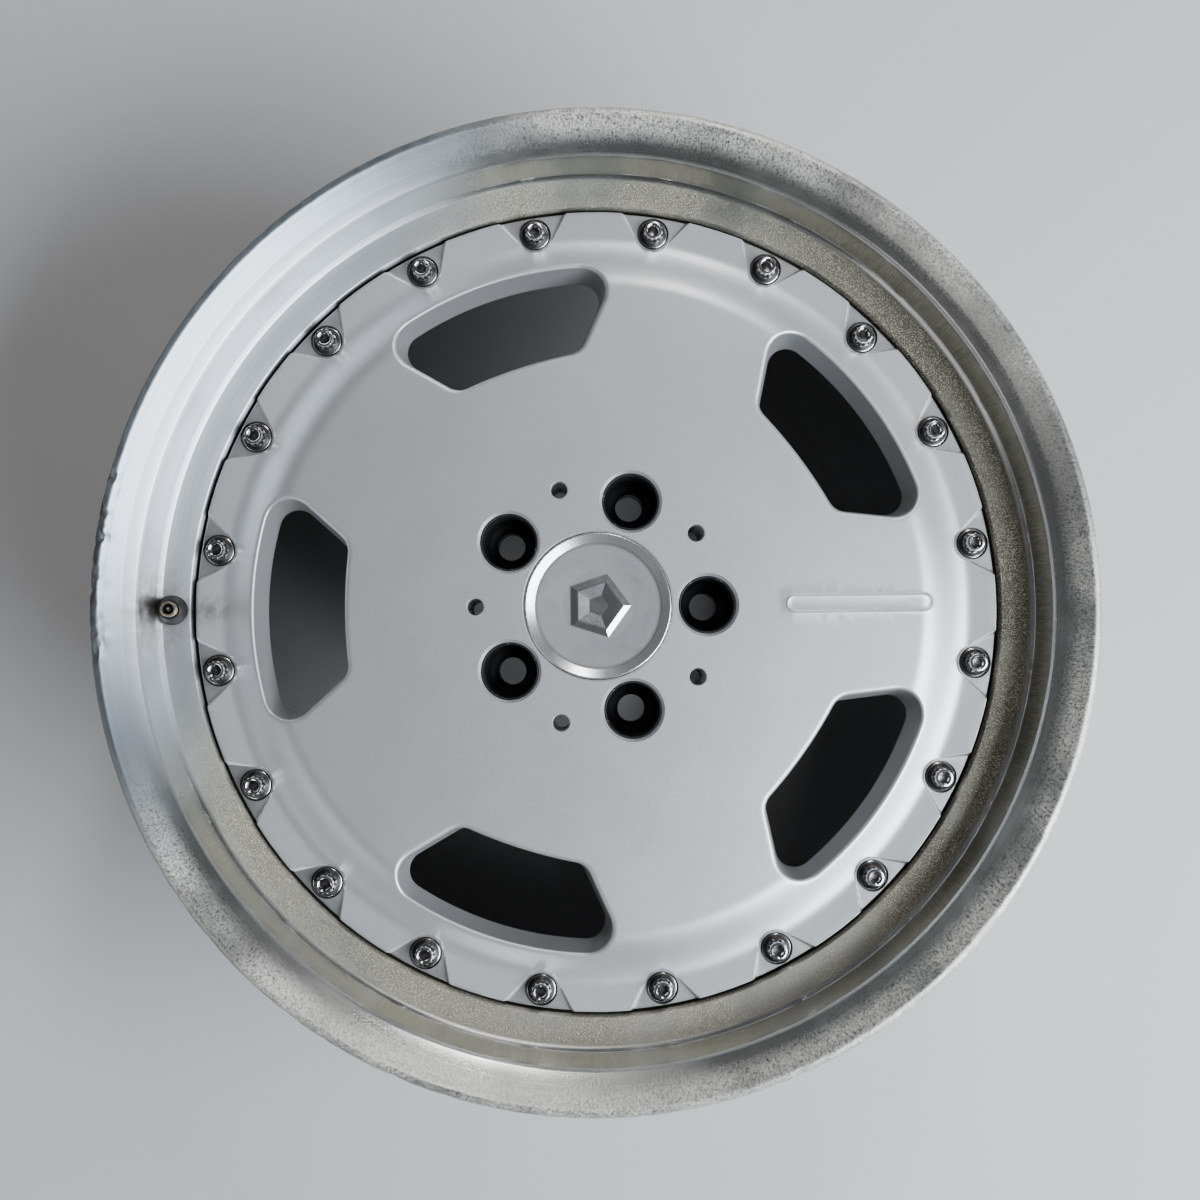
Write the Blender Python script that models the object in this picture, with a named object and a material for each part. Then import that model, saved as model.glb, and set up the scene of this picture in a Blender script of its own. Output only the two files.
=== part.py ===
"""Three-piece forged racing wheel rim, 18 x 8J, lying on its inboard flange.

A flat centre disc is bolted to an outer rim half (the lip) and an inner rim half (the barrel).
The wheel's axis is +Z, towards the outboard side. The origin is on the axis, in the plane that the
inboard flange rests on. +X runs through a lug hole and the tyre valve is at -X.
Profiles are lists of (radius, height) in millimetres, and heights count from the hub's front face.
"""
import math

import bmesh
import bpy
from mathutils import Vector

MM = 0.001

# Driving dimensions, in millimetres. JJ rims are measured at their bead seats.
BEAD_SEAT_RADIUS = 231.0
FLANGE_HEIGHT = 18.0
WIDTH_BETWEEN_FLANGES = 203.2
LIP_WIDTH = 14.5
FLANGE_WIDTH = 12.0
RIM_RADIUS = BEAD_SEAT_RADIUS + FLANGE_HEIGHT
OUTBOARD_TOP = 27.0
OUTBOARD_FLANGE = OUTBOARD_TOP - LIP_WIDTH
INBOARD_FLANGE = OUTBOARD_FLANGE - WIDTH_BETWEEN_FLANGES
INBOARD_EDGE = INBOARD_FLANGE - FLANGE_WIDTH
RIM_SEGMENTS = 40
GAP = 0.3

DISC_RADIUS = 206.9
DISC_BACK = -22.0
WEB_BACK = -24.5
HUB_BACK = -45.0
HUB_RADIUS = 77.0
HUB_BORE_RADIUS = 33.3
CAP_BORE_RADIUS = 37.9
CAP_BORE_FLOOR = -26.0

LUG_COUNT = 5
LUG_CIRCLE = 56.0
LUG_BORE_RADIUS = 14.8
LUG_CHAMFER = 1.45
LUG_BORE_FLOOR = -34.3
LUG_HOLE_RADIUS = 7.5
PEG_CIRCLE = 62.5
PEG_HOLE_RADIUS = 4.3

BOLT_COUNT = 20
BOLT_CIRCLE = 197.8
BOLT_HOLE_RADIUS = 4.5
BOLT_SEAT_RADIUS = 8.3
BOLT_SEAT = -12.0
POCKET_FLOOR = -10.2
POCKET_NOSE_RADIUS = 9.2
POCKET_SIDE_ANGLE = math.radians(34)
POCKET_DRAFT = 0.5
SHANK_RADIUS = 4.0

WINDOW_OUTER_RADIUS = 176.0
WINDOW_INNER_MIDDLE = 129.2
WINDOW_INNER_CURVE = 246.0
WINDOW_SIDE_POINT = (128.0, 34.0)
WINDOW_SIDE_ANGLE = math.radians(42.3)
WINDOW_OUTER_CORNER = 13.0
WINDOW_INNER_CORNER = 10.0
WINDOW_EDGE = 2.0
WINDOW_DRAFT = 3.0

RIM_FLANGE_THICKNESS = 6.0
RIM_FLANGE_INNER = 186.0
WELL_RADIUS = 212.6
WELL_WALL = 5.0
PILOT_RADIUS = 207.6
BAND_START = (210.0, -9.6)
BAND_END = (223.6, -7.1)
BAND_THICKNESS = 7.0

CAP_RADIUS = 37.5
CAP_TABS = 6

VALVE_CIRCLE = 218.3
VALVE_HOLE_RADIUS = 6.1
VALVE_TIP = 21.0
PIN_RADIUS = 0.5
SPRING_RADIUS = 1.1
SPRING_WIRE = 0.2
SPRING_TURNS = 4

BAND_TILT = math.atan2(BAND_END[1] - BAND_START[1], BAND_END[0] - BAND_START[0])
VALVE_FOOT = BAND_START[1] + (VALVE_CIRCLE - BAND_START[0]) * math.tan(BAND_TILT)


def clear_scene():
    for item in list(bpy.data.objects):
        bpy.data.objects.remove(item)


def material(name, colour, roughness, metallic):
    finish = bpy.data.materials.new(name)
    finish.use_nodes = True
    shader = finish.node_tree.nodes["Principled BSDF"]
    shader.inputs["Base Color"].default_value = (*colour, 1.0)
    shader.inputs["Roughness"].default_value = roughness
    shader.inputs["Metallic"].default_value = metallic
    return finish


def object_from(name, shape, finish=None):
    """Turn a bmesh into an object; one without a finish is a hidden cutter."""
    bmesh.ops.recalc_face_normals(shape, faces=shape.faces)
    mesh = bpy.data.meshes.new(name)
    shape.to_mesh(mesh)
    shape.free()
    mesh.shade_smooth()
    mesh.set_sharp_from_angle(angle=math.radians(30))
    item = bpy.data.objects.new(name, mesh)
    bpy.context.collection.objects.link(item)
    if finish is None:
        item.hide_render = True
        item.display_type = "WIRE"
    else:
        mesh.materials.append(finish)
    return item


def stand_at_hub_face(item):
    """Heights count from the hub's front face, which lies this far above the floor."""
    item.location.z = -INBOARD_EDGE * MM
    return item


def around(radius, angle, height=0.0):
    return Vector((radius * math.cos(angle), radius * math.sin(angle), height)) * MM


def add_turned(shape, profile, segments, centre=(0.0, 0.0)):
    """Turn a profile about Z: a ring when it closes on itself, a solid when it ends on the axis."""
    rings = []
    for radius, height in profile:
        count = segments if radius > 0.0 else 1
        corners = [around(radius, math.tau * i / segments, height) for i in range(count)]
        offset = Vector((*centre, 0.0)) * MM
        rings.append([shape.verts.new(corner + offset) for corner in corners])
    bands = list(zip(rings, rings[1:]))
    if profile[0][0] > 0.0:
        bands.append((rings[-1], rings[0]))
    for upper, lower in bands:
        for i in range(segments):
            j = (i + 1) % segments
            corners = [upper[i % len(upper)], upper[j % len(upper)]]
            corners += [lower[j % len(lower)], lower[i % len(lower)]]
            shape.faces.new(list(dict.fromkeys(corners)))


def turned(name, profile, segments, finish):
    shape = bmesh.new()
    add_turned(shape, profile, segments)
    return object_from(name, shape, finish)


def add_loft(shape, loops):
    """Join outlines with the same number of points into one closed solid."""
    rings = [[shape.verts.new(point) for point in loop] for loop in loops]
    for upper, lower in zip(rings, rings[1:]):
        for i in range(len(upper)):
            j = (i + 1) % len(upper)
            shape.faces.new((upper[i], upper[j], lower[j], lower[i]))
    shape.faces.new(rings[0])
    shape.faces.new(rings[-1])


def arc(centre, radius, start, end, steps):
    """Points and outward directions along an arc."""
    points = []
    for i in range(steps + 1):
        angle = start + (end - start) * i / steps
        direction = Vector((math.cos(angle), math.sin(angle)))
        points.append((Vector(centre) + radius * direction, direction))
    return points


def subtract(target, cutter):
    cut = target.modifiers.new(cutter.name, "BOOLEAN")
    cut.operation = "DIFFERENCE"
    cut.object = cutter


def fillet_centre(curve_centre_x, distance, corner):
    """Centre of a corner arc that touches the window's straight side.

    It lies at the corner radius from the side and at the given distance from a point on the X axis.
    """
    along = Vector((math.cos(WINDOW_SIDE_ANGLE), math.sin(WINDOW_SIDE_ANGLE)))
    inward = Vector((along.y, -along.x))
    start = Vector(WINDOW_SIDE_POINT) + corner * inward - Vector((curve_centre_x, 0.0))
    half = start.dot(along)
    travel = -half + math.sqrt(half * half - start.length_squared + distance * distance)
    return start + travel * along + Vector((curve_centre_x, 0.0))


def window_outline(spread, middle_steps=6, corner_steps=4):
    """One window's outline about the X axis, moved outward by a distance."""
    curve_x = WINDOW_INNER_MIDDLE - WINDOW_INNER_CURVE
    outer = fillet_centre(0.0, WINDOW_OUTER_RADIUS - WINDOW_OUTER_CORNER, WINDOW_OUTER_CORNER)
    inner = fillet_centre(curve_x, WINDOW_INNER_CURVE + WINDOW_INNER_CORNER, WINDOW_INNER_CORNER)
    side = WINDOW_SIDE_ANGLE + math.pi / 2
    outer_turn = math.atan2(outer.y, outer.x)
    inner_turn = math.atan2(inner.y, inner.x - curve_x)
    half = arc((0.0, 0.0), WINDOW_OUTER_RADIUS, 0.0, outer_turn, middle_steps // 2)[:-1]
    half += arc(outer, WINDOW_OUTER_CORNER, outer_turn, side, corner_steps)
    half += arc(inner, WINDOW_INNER_CORNER, side, inner_turn + math.pi, corner_steps)
    inner_edge = arc((curve_x, 0.0), WINDOW_INNER_CURVE, inner_turn, 0.0, middle_steps // 2)[1:]
    half += [(point, -direction) for point, direction in inner_edge]
    mirrored = [(Vector((p.x, -p.y)), Vector((d.x, -d.y))) for p, d in half[-2:0:-1]]
    return [point + spread * direction for point, direction in half + mirrored]


def turn_points(points, angle, height):
    turned_points = []
    for point in points:
        spot = around(point.length, angle + math.atan2(point.y, point.x), height)
        turned_points.append(spot)
    return turned_points


def add_windows(shape):
    levels = [(1.0, WINDOW_EDGE), (-WINDOW_EDGE, 0.0), (WEB_BACK - 3.0, -WINDOW_DRAFT)]
    for k in range(LUG_COUNT):
        angle = math.tau * (k + 0.5) / LUG_COUNT
        add_loft(shape, [turn_points(window_outline(spread), angle, z) for z, spread in levels])


def bolt_angle(k):
    return math.tau * (k + 0.5) / BOLT_COUNT


def pocket_outline(spread, nose_steps=6):
    """A round nose towards the hub, and straight sides that flare to beyond the disc's edge."""
    radius = POCKET_NOSE_RADIUS + spread
    half_turn = math.pi / 2 - POCKET_SIDE_ANGLE
    nose = arc((BOLT_CIRCLE, 0.0), radius, math.pi - half_turn, math.pi + half_turn, nose_steps)
    points = [point for point, _ in nose]
    mouth = DISC_RADIUS + 5.0
    widening = (mouth - points[0].x) * math.tan(POCKET_SIDE_ANGLE)
    points.append(Vector((mouth, points[-1].y - widening)))
    points.append(Vector((mouth, points[0].y + widening)))
    return points


def add_pockets(shape):
    levels = [(2.0, POCKET_DRAFT * (2.0 - POCKET_FLOOR)), (POCKET_FLOOR, 0.0)]
    for k in range(BOLT_COUNT):
        add_loft(shape, [turn_points(pocket_outline(spread), bolt_angle(k), z) for z, spread in levels])


def add_disc_holes(shape):
    top, bottom = 1.0, HUB_BACK - 1.0
    lug = [(0.0, top), (LUG_BORE_RADIUS + LUG_CHAMFER + top, top), (LUG_BORE_RADIUS, -LUG_CHAMFER)]
    lug += [(LUG_BORE_RADIUS, LUG_BORE_FLOOR), (LUG_HOLE_RADIUS, LUG_BORE_FLOOR)]
    lug += [(LUG_HOLE_RADIUS, bottom), (0.0, bottom)]
    peg = [(0.0, top), (PEG_HOLE_RADIUS, top), (PEG_HOLE_RADIUS, bottom), (0.0, bottom)]
    for k in range(LUG_COUNT):
        spot = around(LUG_CIRCLE, math.tau * k / LUG_COUNT) / MM
        add_turned(shape, lug, 16, spot.xy)
        spot = around(PEG_CIRCLE, math.tau * (k + 0.5) / LUG_COUNT) / MM
        add_turned(shape, peg, 8, spot.xy)
    seat = [(0.0, top), (BOLT_SEAT_RADIUS, top), (BOLT_SEAT_RADIUS, BOLT_SEAT)]
    seat += [(BOLT_HOLE_RADIUS, BOLT_SEAT), (BOLT_HOLE_RADIUS, bottom), (0.0, bottom)]
    add_bolt_holes(shape, seat, 12)


def add_bolt_holes(shape, profile, segments):
    for k in range(BOLT_COUNT):
        spot = around(BOLT_CIRCLE, bolt_angle(k)) / MM
        add_turned(shape, profile, segments, spot.xy)


def plain_bolt_hole(top, bottom):
    return [(0.0, top), (BOLT_HOLE_RADIUS, top), (BOLT_HOLE_RADIUS, bottom), (0.0, bottom)]


def cutter_from(name, *adders):
    shape = bmesh.new()
    for add in adders:
        add(shape)
    return stand_at_hub_face(object_from(name, shape))


def make_centre_disc(finish):
    profile = [
        (CAP_BORE_RADIUS, -0.8), (CAP_BORE_RADIUS + 0.8, 0.0), (160.0, 0.0), (170.0, -0.8),
        (178.0, -2.8), (184.0, -5.6), (190.0, -7.8), (DISC_RADIUS - 1.0, -9.0),
        (DISC_RADIUS, -10.0), (DISC_RADIUS, DISC_BACK), (183.5, DISC_BACK), (182.0, WEB_BACK),
        (88.0, WEB_BACK - 2.0), (HUB_RADIUS, HUB_BACK), (HUB_BORE_RADIUS, HUB_BACK),
        (HUB_BORE_RADIUS, CAP_BORE_FLOOR), (CAP_BORE_RADIUS, CAP_BORE_FLOOR),
    ]
    disc = stand_at_hub_face(turned("centre_disc", profile, RIM_SEGMENTS, finish))
    subtract(disc, cutter_from("window_and_pocket_cutter", add_windows, add_pockets))
    subtract(disc, cutter_from("disc_hole_cutter", add_disc_holes))


def make_outer_lip(finish):
    """The outboard rim half: bolting flange, valve band, steep wall, rolled flange, bead seat."""
    flange_top = DISC_BACK - GAP
    flange_bottom = flange_top - RIM_FLANGE_THICKNESS
    band_drop = BAND_THICKNESS / math.cos(BAND_TILT)
    slope = math.tan(BAND_TILT)
    behind_well = BAND_START[1] - band_drop + (WELL_RADIUS - BAND_START[0]) * slope
    behind_hump = BAND_START[1] - band_drop + (228.0 - BAND_START[0]) * slope
    profile = [
        (PILOT_RADIUS, -13.5), BAND_START, BAND_END, (226.0, -4.6), (228.4, 13.6),
        (229.6, 15.4), (235.6, 18.6), (241.6, 24.0), (244.6, OUTBOARD_TOP),
        (RIM_RADIUS - 1.4, OUTBOARD_TOP - 0.9), (RIM_RADIUS, OUTBOARD_TOP - 3.5),
        (RIM_RADIUS, OUTBOARD_FLANGE), (238.0, OUTBOARD_FLANGE), (233.0, OUTBOARD_FLANGE - 1.8),
        (BEAD_SEAT_RADIUS - 0.2, OUTBOARD_FLANGE - 6.5), (229.4, -9.2), (230.2, -11.0),
        (228.0, behind_hump), (WELL_RADIUS, behind_well), (WELL_RADIUS, flange_bottom),
        (RIM_FLANGE_INNER, flange_bottom), (RIM_FLANGE_INNER, flange_top),
        (PILOT_RADIUS, flange_top),
    ]
    lip = stand_at_hub_face(turned("outer_lip", profile, RIM_SEGMENTS, finish))
    hole = plain_bolt_hole(flange_top + 4.0, -40.0)
    holes = cutter_from("lip_hole_cutter", lambda shape: add_bolt_holes(shape, hole, 8))
    subtract(lip, holes)
    bore = [(0.0, 6.0), (VALVE_HOLE_RADIUS, 6.0), (VALVE_HOLE_RADIUS, -12.0), (0.0, -12.0)]
    subtract(lip, on_valve_axis(turned("valve_hole_cutter", bore, 16, None)))


def make_inner_barrel(finish):
    """The inboard rim half: bolting flange, drop centre, bead seat and inboard flange."""
    flange_top = DISC_BACK - RIM_FLANGE_THICKNESS - 2 * GAP
    flange_bottom = flange_top - RIM_FLANGE_THICKNESS
    inside = WELL_RADIUS - WELL_WALL
    profile = [
        (WELL_RADIUS, flange_top), (WELL_RADIUS, -54.0), (224.5, -84.0), (224.5, -162.0),
        (229.8, -166.5), (229.3, -169.0), (BEAD_SEAT_RADIUS - 0.2, INBOARD_FLANGE + 6.5),
        (233.0, INBOARD_FLANGE + 1.8), (238.0, INBOARD_FLANGE), (RIM_RADIUS, INBOARD_FLANGE),
        (RIM_RADIUS, INBOARD_EDGE + 3.0), (RIM_RADIUS - 2.3, INBOARD_EDGE),
        (238.5, INBOARD_EDGE), (231.0, INBOARD_EDGE + 4.0), (225.6, INBOARD_EDGE + 13.0),
        (223.6, -168.0), (219.0, -158.0), (219.0, -86.0), (inside, -56.0), (inside, flange_bottom),
        (RIM_FLANGE_INNER, flange_bottom), (RIM_FLANGE_INNER, flange_top),
    ]
    barrel = stand_at_hub_face(turned("inner_barrel", profile, RIM_SEGMENTS, finish))
    hole = plain_bolt_hole(-20.0, flange_bottom - 4.0)
    holes = cutter_from("barrel_hole_cutter", lambda shape: add_bolt_holes(shape, hole, 8))
    subtract(barrel, holes)


def make_sealant(finish):
    """The silicone bead that closes the joint of the rim halves, on the tyre's side."""
    joint = DISC_BACK - RIM_FLANGE_THICKNESS - 1.5 * GAP
    inside = WELL_RADIUS + 0.6
    profile = [(inside, joint + 3.2), (inside + 2.6, joint), (inside, joint - 3.2)]
    stand_at_hub_face(turned("rim_sealant", profile, RIM_SEGMENTS, finish))


def make_assembly_bolts(finish):
    seat = BOLT_SEAT + GAP
    profile = [
        (0.0, -43.0), (SHANK_RADIUS, -43.0), (SHANK_RADIUS, seat), (7.4, seat), (7.4, seat + 1.0),
        (5.1, -9.6), (4.9, -3.0), (3.4, -3.0), (2.9, -5.5), (0.0, -5.5),
    ]
    first = turned("assembly_bolt_01", profile, 8, finish)
    place_copies(first, "assembly_bolt")


def make_assembly_nuts(finish):
    top = DISC_BACK - 2 * RIM_FLANGE_THICKNESS - 3 * GAP
    hole, corner, height = 5.1, 7.5, 6.5
    profile = [(hole, top), (corner, top), (corner, top - height), (hole, top - height)]
    first = turned("assembly_nut_01", profile, 6, finish)
    place_copies(first, "assembly_nut")


def place_copies(first, name):
    """Stand the first piece on the bolt circle, and a copy of it at each other bolt."""
    for k in range(BOLT_COUNT):
        item = first
        if k > 0:
            item = bpy.data.objects.new(f"{name}_{k + 1:02d}", first.data)
            bpy.context.collection.objects.link(item)
        item.location = around(BOLT_CIRCLE, bolt_angle(k), -INBOARD_EDGE)
        item.rotation_euler.z = bolt_angle(k)


def make_lug_seats(finish):
    """Black sleeves pressed into the lug bores, each ending in the seat of the wheel bolt."""
    outside = LUG_BORE_RADIUS - GAP
    floor = LUG_BORE_FLOOR + GAP
    profile = [
        (outside, -1.8), (13.7, -1.8), (13.5, -21.0), (11.6, -26.0), (7.2, -29.5), (7.2, floor),
        (outside, floor),
    ]
    for k in range(LUG_COUNT):
        sleeve = turned(f"lug_seat_{k + 1}", profile, 16, finish)
        sleeve.location = around(LUG_CIRCLE, math.tau * k / LUG_COUNT, -INBOARD_EDGE)


def make_centre_cap(finish, emblem_finish, ring_finish):
    """A push-in cap: dished face, bevelled rim, spring tabs held out by a wire ring."""
    skirt_bottom = -16.0
    profile = [
        (0.0, -2.4), (18.0, -2.2), (32.4, -1.6), (37.0, 0.5), (CAP_RADIUS, 0.1),
        (CAP_RADIUS, -2.4), (36.6, -3.0), (36.6, skirt_bottom), (34.9, skirt_bottom),
        (34.6, -4.6), (0.0, -4.8),
    ]
    cap = stand_at_hub_face(turned("centre_cap", profile, 32, finish))
    shape = bmesh.new()
    for k in range(CAP_TABS):
        angle = math.tau * (k + 0.5) / CAP_TABS
        outline = [Vector((33.0, -4.0)), Vector((39.0, -4.0)), Vector((39.0, 4.0)), Vector((33.0, 4.0))]
        add_loft(shape, [turn_points(outline, angle, z) for z in (-6.5, skirt_bottom - 1.0)])
    subtract(cap, stand_at_hub_face(object_from("cap_slot_cutter", shape)))
    emblem = [
        (0.0, -1.5), (5.5, -1.5), (12.2, -0.45), (13.4, -0.4), (16.9, -1.6), (16.9, -1.9), (0.0, -1.9),
    ]
    stand_at_hub_face(turned("cap_emblem", emblem, LUG_COUNT, emblem_finish))
    ring = [point for point, _ in arc((33.7, -12.5), 0.7, 0.0, math.tau * 5 / 6, 5)]
    stand_at_hub_face(turned("cap_spring_ring", [tuple(p) for p in ring], 24, ring_finish))


def on_valve_axis(item):
    """Stand a piece on the valve's axis, square to the tilted band, heights from its surface."""
    item.location = (-VALVE_CIRCLE * MM, 0.0, (VALVE_FOOT - INBOARD_EDGE) * MM)
    item.rotation_euler.y = BAND_TILT
    return item


def make_valve(rubber, brass, steel, seal_rubber):
    body = [
        (4.3, 12.5), (5.0, 12.5), (6.9, 4.0), (7.75, 1.9), (6.9, 1.1), (5.7, 0.45),
        (5.6, -BAND_THICKNESS - 0.4), (7.0, -BAND_THICKNESS - 0.4), (7.0, -10.0), (5.8, -12.5),
        (4.3, -12.5),
    ]
    on_valve_axis(turned("valve_body", body, 16, rubber))
    stem = [
        (2.6, VALVE_TIP), (3.5, VALVE_TIP), (3.9, VALVE_TIP - 0.5), (3.9, -14.0), (1.9, -14.0),
        (1.9, 0.0), (2.6, 0.0),
    ]
    on_valve_axis(turned("valve_stem", stem, 16, brass))
    core = [(1.7, 17.0), (2.3, 17.0), (2.3, 4.0), (0.8, 4.0), (0.8, 7.4), (1.7, 7.4)]
    on_valve_axis(turned("valve_core", core, 12, brass))
    pin = [
        (0.0, 18.6), (PIN_RADIUS, 18.4), (PIN_RADIUS, 16.6), (1.35, 16.4), (1.35, 15.6),
        (PIN_RADIUS, 15.4), (PIN_RADIUS, 2.0), (1.2, 1.9), (1.2, 1.4), (0.0, 1.4),
    ]
    on_valve_axis(turned("valve_pin", pin, 8, steel))
    seal = [(0.8, 3.6), (2.2, 3.6), (2.2, 2.3), (0.8, 2.3)]
    on_valve_axis(turned("valve_seal", seal, 12, seal_rubber))
    on_valve_axis(make_spring("valve_spring", 7.9, 15.1, steel))


def make_spring(name, bottom, top, finish):
    """A coil spring: a square-section wire along a helix."""
    steps = SPRING_TURNS * 8
    shape = bmesh.new()
    rings = []
    for i in range(steps + 1):
        angle = math.tau * SPRING_TURNS * i / steps
        height = bottom + (top - bottom) * i / steps
        section = [(SPRING_WIRE, 0.0), (0.0, SPRING_WIRE), (-SPRING_WIRE, 0.0), (0.0, -SPRING_WIRE)]
        corners = [around(SPRING_RADIUS + dr, angle, height + dz) for dr, dz in section]
        rings.append([shape.verts.new(corner) for corner in corners])
    for lower, upper in zip(rings, rings[1:]):
        for i in range(4):
            j = (i + 1) % 4
            shape.faces.new((lower[i], lower[j], upper[j], upper[i]))
    shape.faces.new(rings[0])
    shape.faces.new(rings[-1])
    return object_from(name, shape, finish)


def main():
    clear_scene()
    silver_paint = material("silver_paint", (0.66, 0.66, 0.67), 0.38, 0.6)
    polished = material("turned_aluminium", (0.78, 0.77, 0.75), 0.22, 1.0)
    barrel_finish = material("anodised_aluminium", (0.30, 0.30, 0.31), 0.42, 1.0)
    chrome = material("chrome", (0.86, 0.86, 0.87), 0.08, 1.0)
    zinc = material("zinc_plated_steel", (0.62, 0.62, 0.60), 0.32, 1.0)
    black = material("black_anodised", (0.015, 0.015, 0.017), 0.35, 0.4)
    cap_silver = material("cap_silver", (0.72, 0.72, 0.72), 0.24, 0.8)
    spring_steel = material("spring_steel", (0.45, 0.45, 0.47), 0.3, 1.0)
    rubber = material("valve_rubber", (0.02, 0.02, 0.022), 0.6, 0.0)
    brass = material("nickel_plated_brass", (0.62, 0.58, 0.50), 0.28, 1.0)
    sealant = material("silicone_sealant", (0.12, 0.12, 0.13), 0.5, 0.0)

    make_centre_disc(silver_paint)
    make_outer_lip(polished)
    make_inner_barrel(barrel_finish)
    make_sealant(sealant)
    make_assembly_bolts(chrome)
    make_assembly_nuts(zinc)
    make_lug_seats(black)
    make_centre_cap(cap_silver, chrome, spring_steel)
    make_valve(rubber, brass, spring_steel, rubber)


main()
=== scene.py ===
"""Looks of the three-piece racing wheel rim: fine meshes, procedural finishes, camera and light.

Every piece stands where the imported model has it. As in the model, profiles are lists of
(radius, height) in millimetres, and heights count from the hub's front face.
"""
import math

import bmesh
import bpy
import numpy as np
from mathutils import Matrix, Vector, noise
from mathutils.geometry import delaunay_2d_cdt


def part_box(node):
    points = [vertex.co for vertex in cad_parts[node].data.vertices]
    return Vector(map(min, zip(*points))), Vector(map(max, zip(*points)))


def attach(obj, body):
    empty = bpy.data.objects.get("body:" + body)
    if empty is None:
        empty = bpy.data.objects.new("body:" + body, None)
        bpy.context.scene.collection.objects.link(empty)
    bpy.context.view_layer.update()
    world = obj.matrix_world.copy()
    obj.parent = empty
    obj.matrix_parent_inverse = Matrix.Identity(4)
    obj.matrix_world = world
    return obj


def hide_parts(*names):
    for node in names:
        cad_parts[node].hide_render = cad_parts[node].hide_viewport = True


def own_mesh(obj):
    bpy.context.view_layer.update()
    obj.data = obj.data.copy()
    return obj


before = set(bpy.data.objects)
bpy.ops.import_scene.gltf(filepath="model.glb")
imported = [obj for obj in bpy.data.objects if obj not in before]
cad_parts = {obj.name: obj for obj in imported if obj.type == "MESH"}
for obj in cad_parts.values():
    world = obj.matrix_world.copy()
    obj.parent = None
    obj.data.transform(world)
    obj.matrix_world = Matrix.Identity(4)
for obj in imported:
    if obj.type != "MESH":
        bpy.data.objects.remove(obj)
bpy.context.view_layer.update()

MM = 0.001
HUB_FACE = 202.7
RIM_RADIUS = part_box("outer_lip")[1].x / MM
LIP_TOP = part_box("outer_lip")[1].z / MM - HUB_FACE
FLOOR = -HUB_FACE
FLOOR_REACH = 4.0

LUG_COUNT = 5
BOLT_COUNT = 20
LUG_CIRCLE = 56.0
PEG_CIRCLE = 62.5
BOLT_CIRCLE = 197.8

DISC_RADIUS = 206.9
DISC_EDGE_ROUND = 0.9
SHOULDER_START = 165.5
SHOULDER_END = 193.0
SHOULDER_DROP = 9.7
LAND_RISE = 0.13
POCKET_FLOOR = -10.2
POCKET_NOSE = 9.2
BOLT_SEAT = -12.0
BOLT_SEAT_RADIUS = 8.3
BOLT_HOLE = 4.5
POCKET_SIDE_ANGLE = math.radians(34)
POCKET_DRAFT = 0.5
DISC_BACK = -22.0
WEB_BACK = -24.5
HUB_BACK = -45.0
CAP_BORE = 37.9
HUB_BORE = 33.3
CAP_FLOOR = -26.0
LUG_MOUTH = 16.25
LUG_BORE = 14.8
LUG_FLOOR = -34.3
LUG_HOLE = 7.5
PEG_MOUTH = 4.75
PEG_HOLE = 4.3
WEB_RADII = (77.0, 88.0, 182.0, 183.5)
CHAMFER = 0.6
CAP_CHAMFER = 0.8

EDGE_SEGMENTS = 1440
BORE_SEGMENTS = 160
HOLE_SETS = (
    (LUG_CIRCLE, LUG_COUNT, 0.0, 64),
    (PEG_CIRCLE, LUG_COUNT, 0.5, 32),
    (BOLT_CIRCLE, BOLT_COUNT, 0.5, 48),
)
FRONT_HOLES = (LUG_MOUTH, PEG_MOUTH, BOLT_SEAT_RADIUS)
BACK_HOLES = (LUG_HOLE + CHAMFER, PEG_HOLE + CHAMFER, BOLT_HOLE)

WINDOW_OUTER_RADIUS = 176.0
WINDOW_INNER_MIDDLE = 129.2
WINDOW_INNER_CURVE = 246.0
WINDOW_SIDE_POINT = (128.0, 34.0)
WINDOW_SIDE_ANGLE = math.radians(42.3)
WINDOW_OUTER_CORNER = 13.0
WINDOW_INNER_CORNER = 10.0
WINDOW_ROUND = 2.4
WINDOW_DRAFT = 3.0
WINDOW_GAP = 0.02

BAR_MIDDLE = 134.0
BAR_HALF_LENGTH = 33.0
BAR_RADIUS = 4.2
BAR_HEIGHT = 0.5
BAR_HALF_WIDTH = 0.7

PILOT_RADIUS = 207.6
BAND_START = (210.0, -9.6)
BAND_END = (223.6, -7.1)
BAND_THICKNESS = 7.0
WELL_RADIUS = 212.6
RIM_FLANGE_INNER = 186.0
LIP_FLANGE_FRONT = -22.3
LIP_FLANGE_BACK = -28.3
BARREL_FLANGE_FRONT = -28.6
BARREL_FLANGE_BACK = -34.6
WEAR_RADIUS = 240.0
WEAR_HEIGHT = 13.0
WEAR_FADE = 5.0
# Depth, first and last direction in degrees, and size of the bites.
SCUFFS = (
    (2.6, 160.0, 188.0, 4.0),
    (0.8, 205.0, 250.0, 7.0),
    (0.35, 40.0, 158.0, 6.0),
    (0.5, 250.0, 345.0, 8.0),
)
VALVE_CIRCLE = 218.3
VALVE_HOLE = 6.1
BAND_TILT = math.atan2(BAND_END[1] - BAND_START[1], BAND_END[0] - BAND_START[0])
VALVE_FOOT = BAND_START[1] + (VALVE_CIRCLE - BAND_START[0]) * math.tan(BAND_TILT)

CREASE = 32


# Mesh tools

def add_object(name, shape):
    """Turn a shape into an object that stands on the hub's front face."""
    bmesh.ops.recalc_face_normals(shape, faces=shape.faces)
    mesh = bpy.data.meshes.new(name)
    shape.to_mesh(mesh)
    shape.free()
    item = bpy.data.objects.new(name, mesh)
    bpy.context.collection.objects.link(item)
    item.location.z = HUB_FACE * MM
    return item


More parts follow.
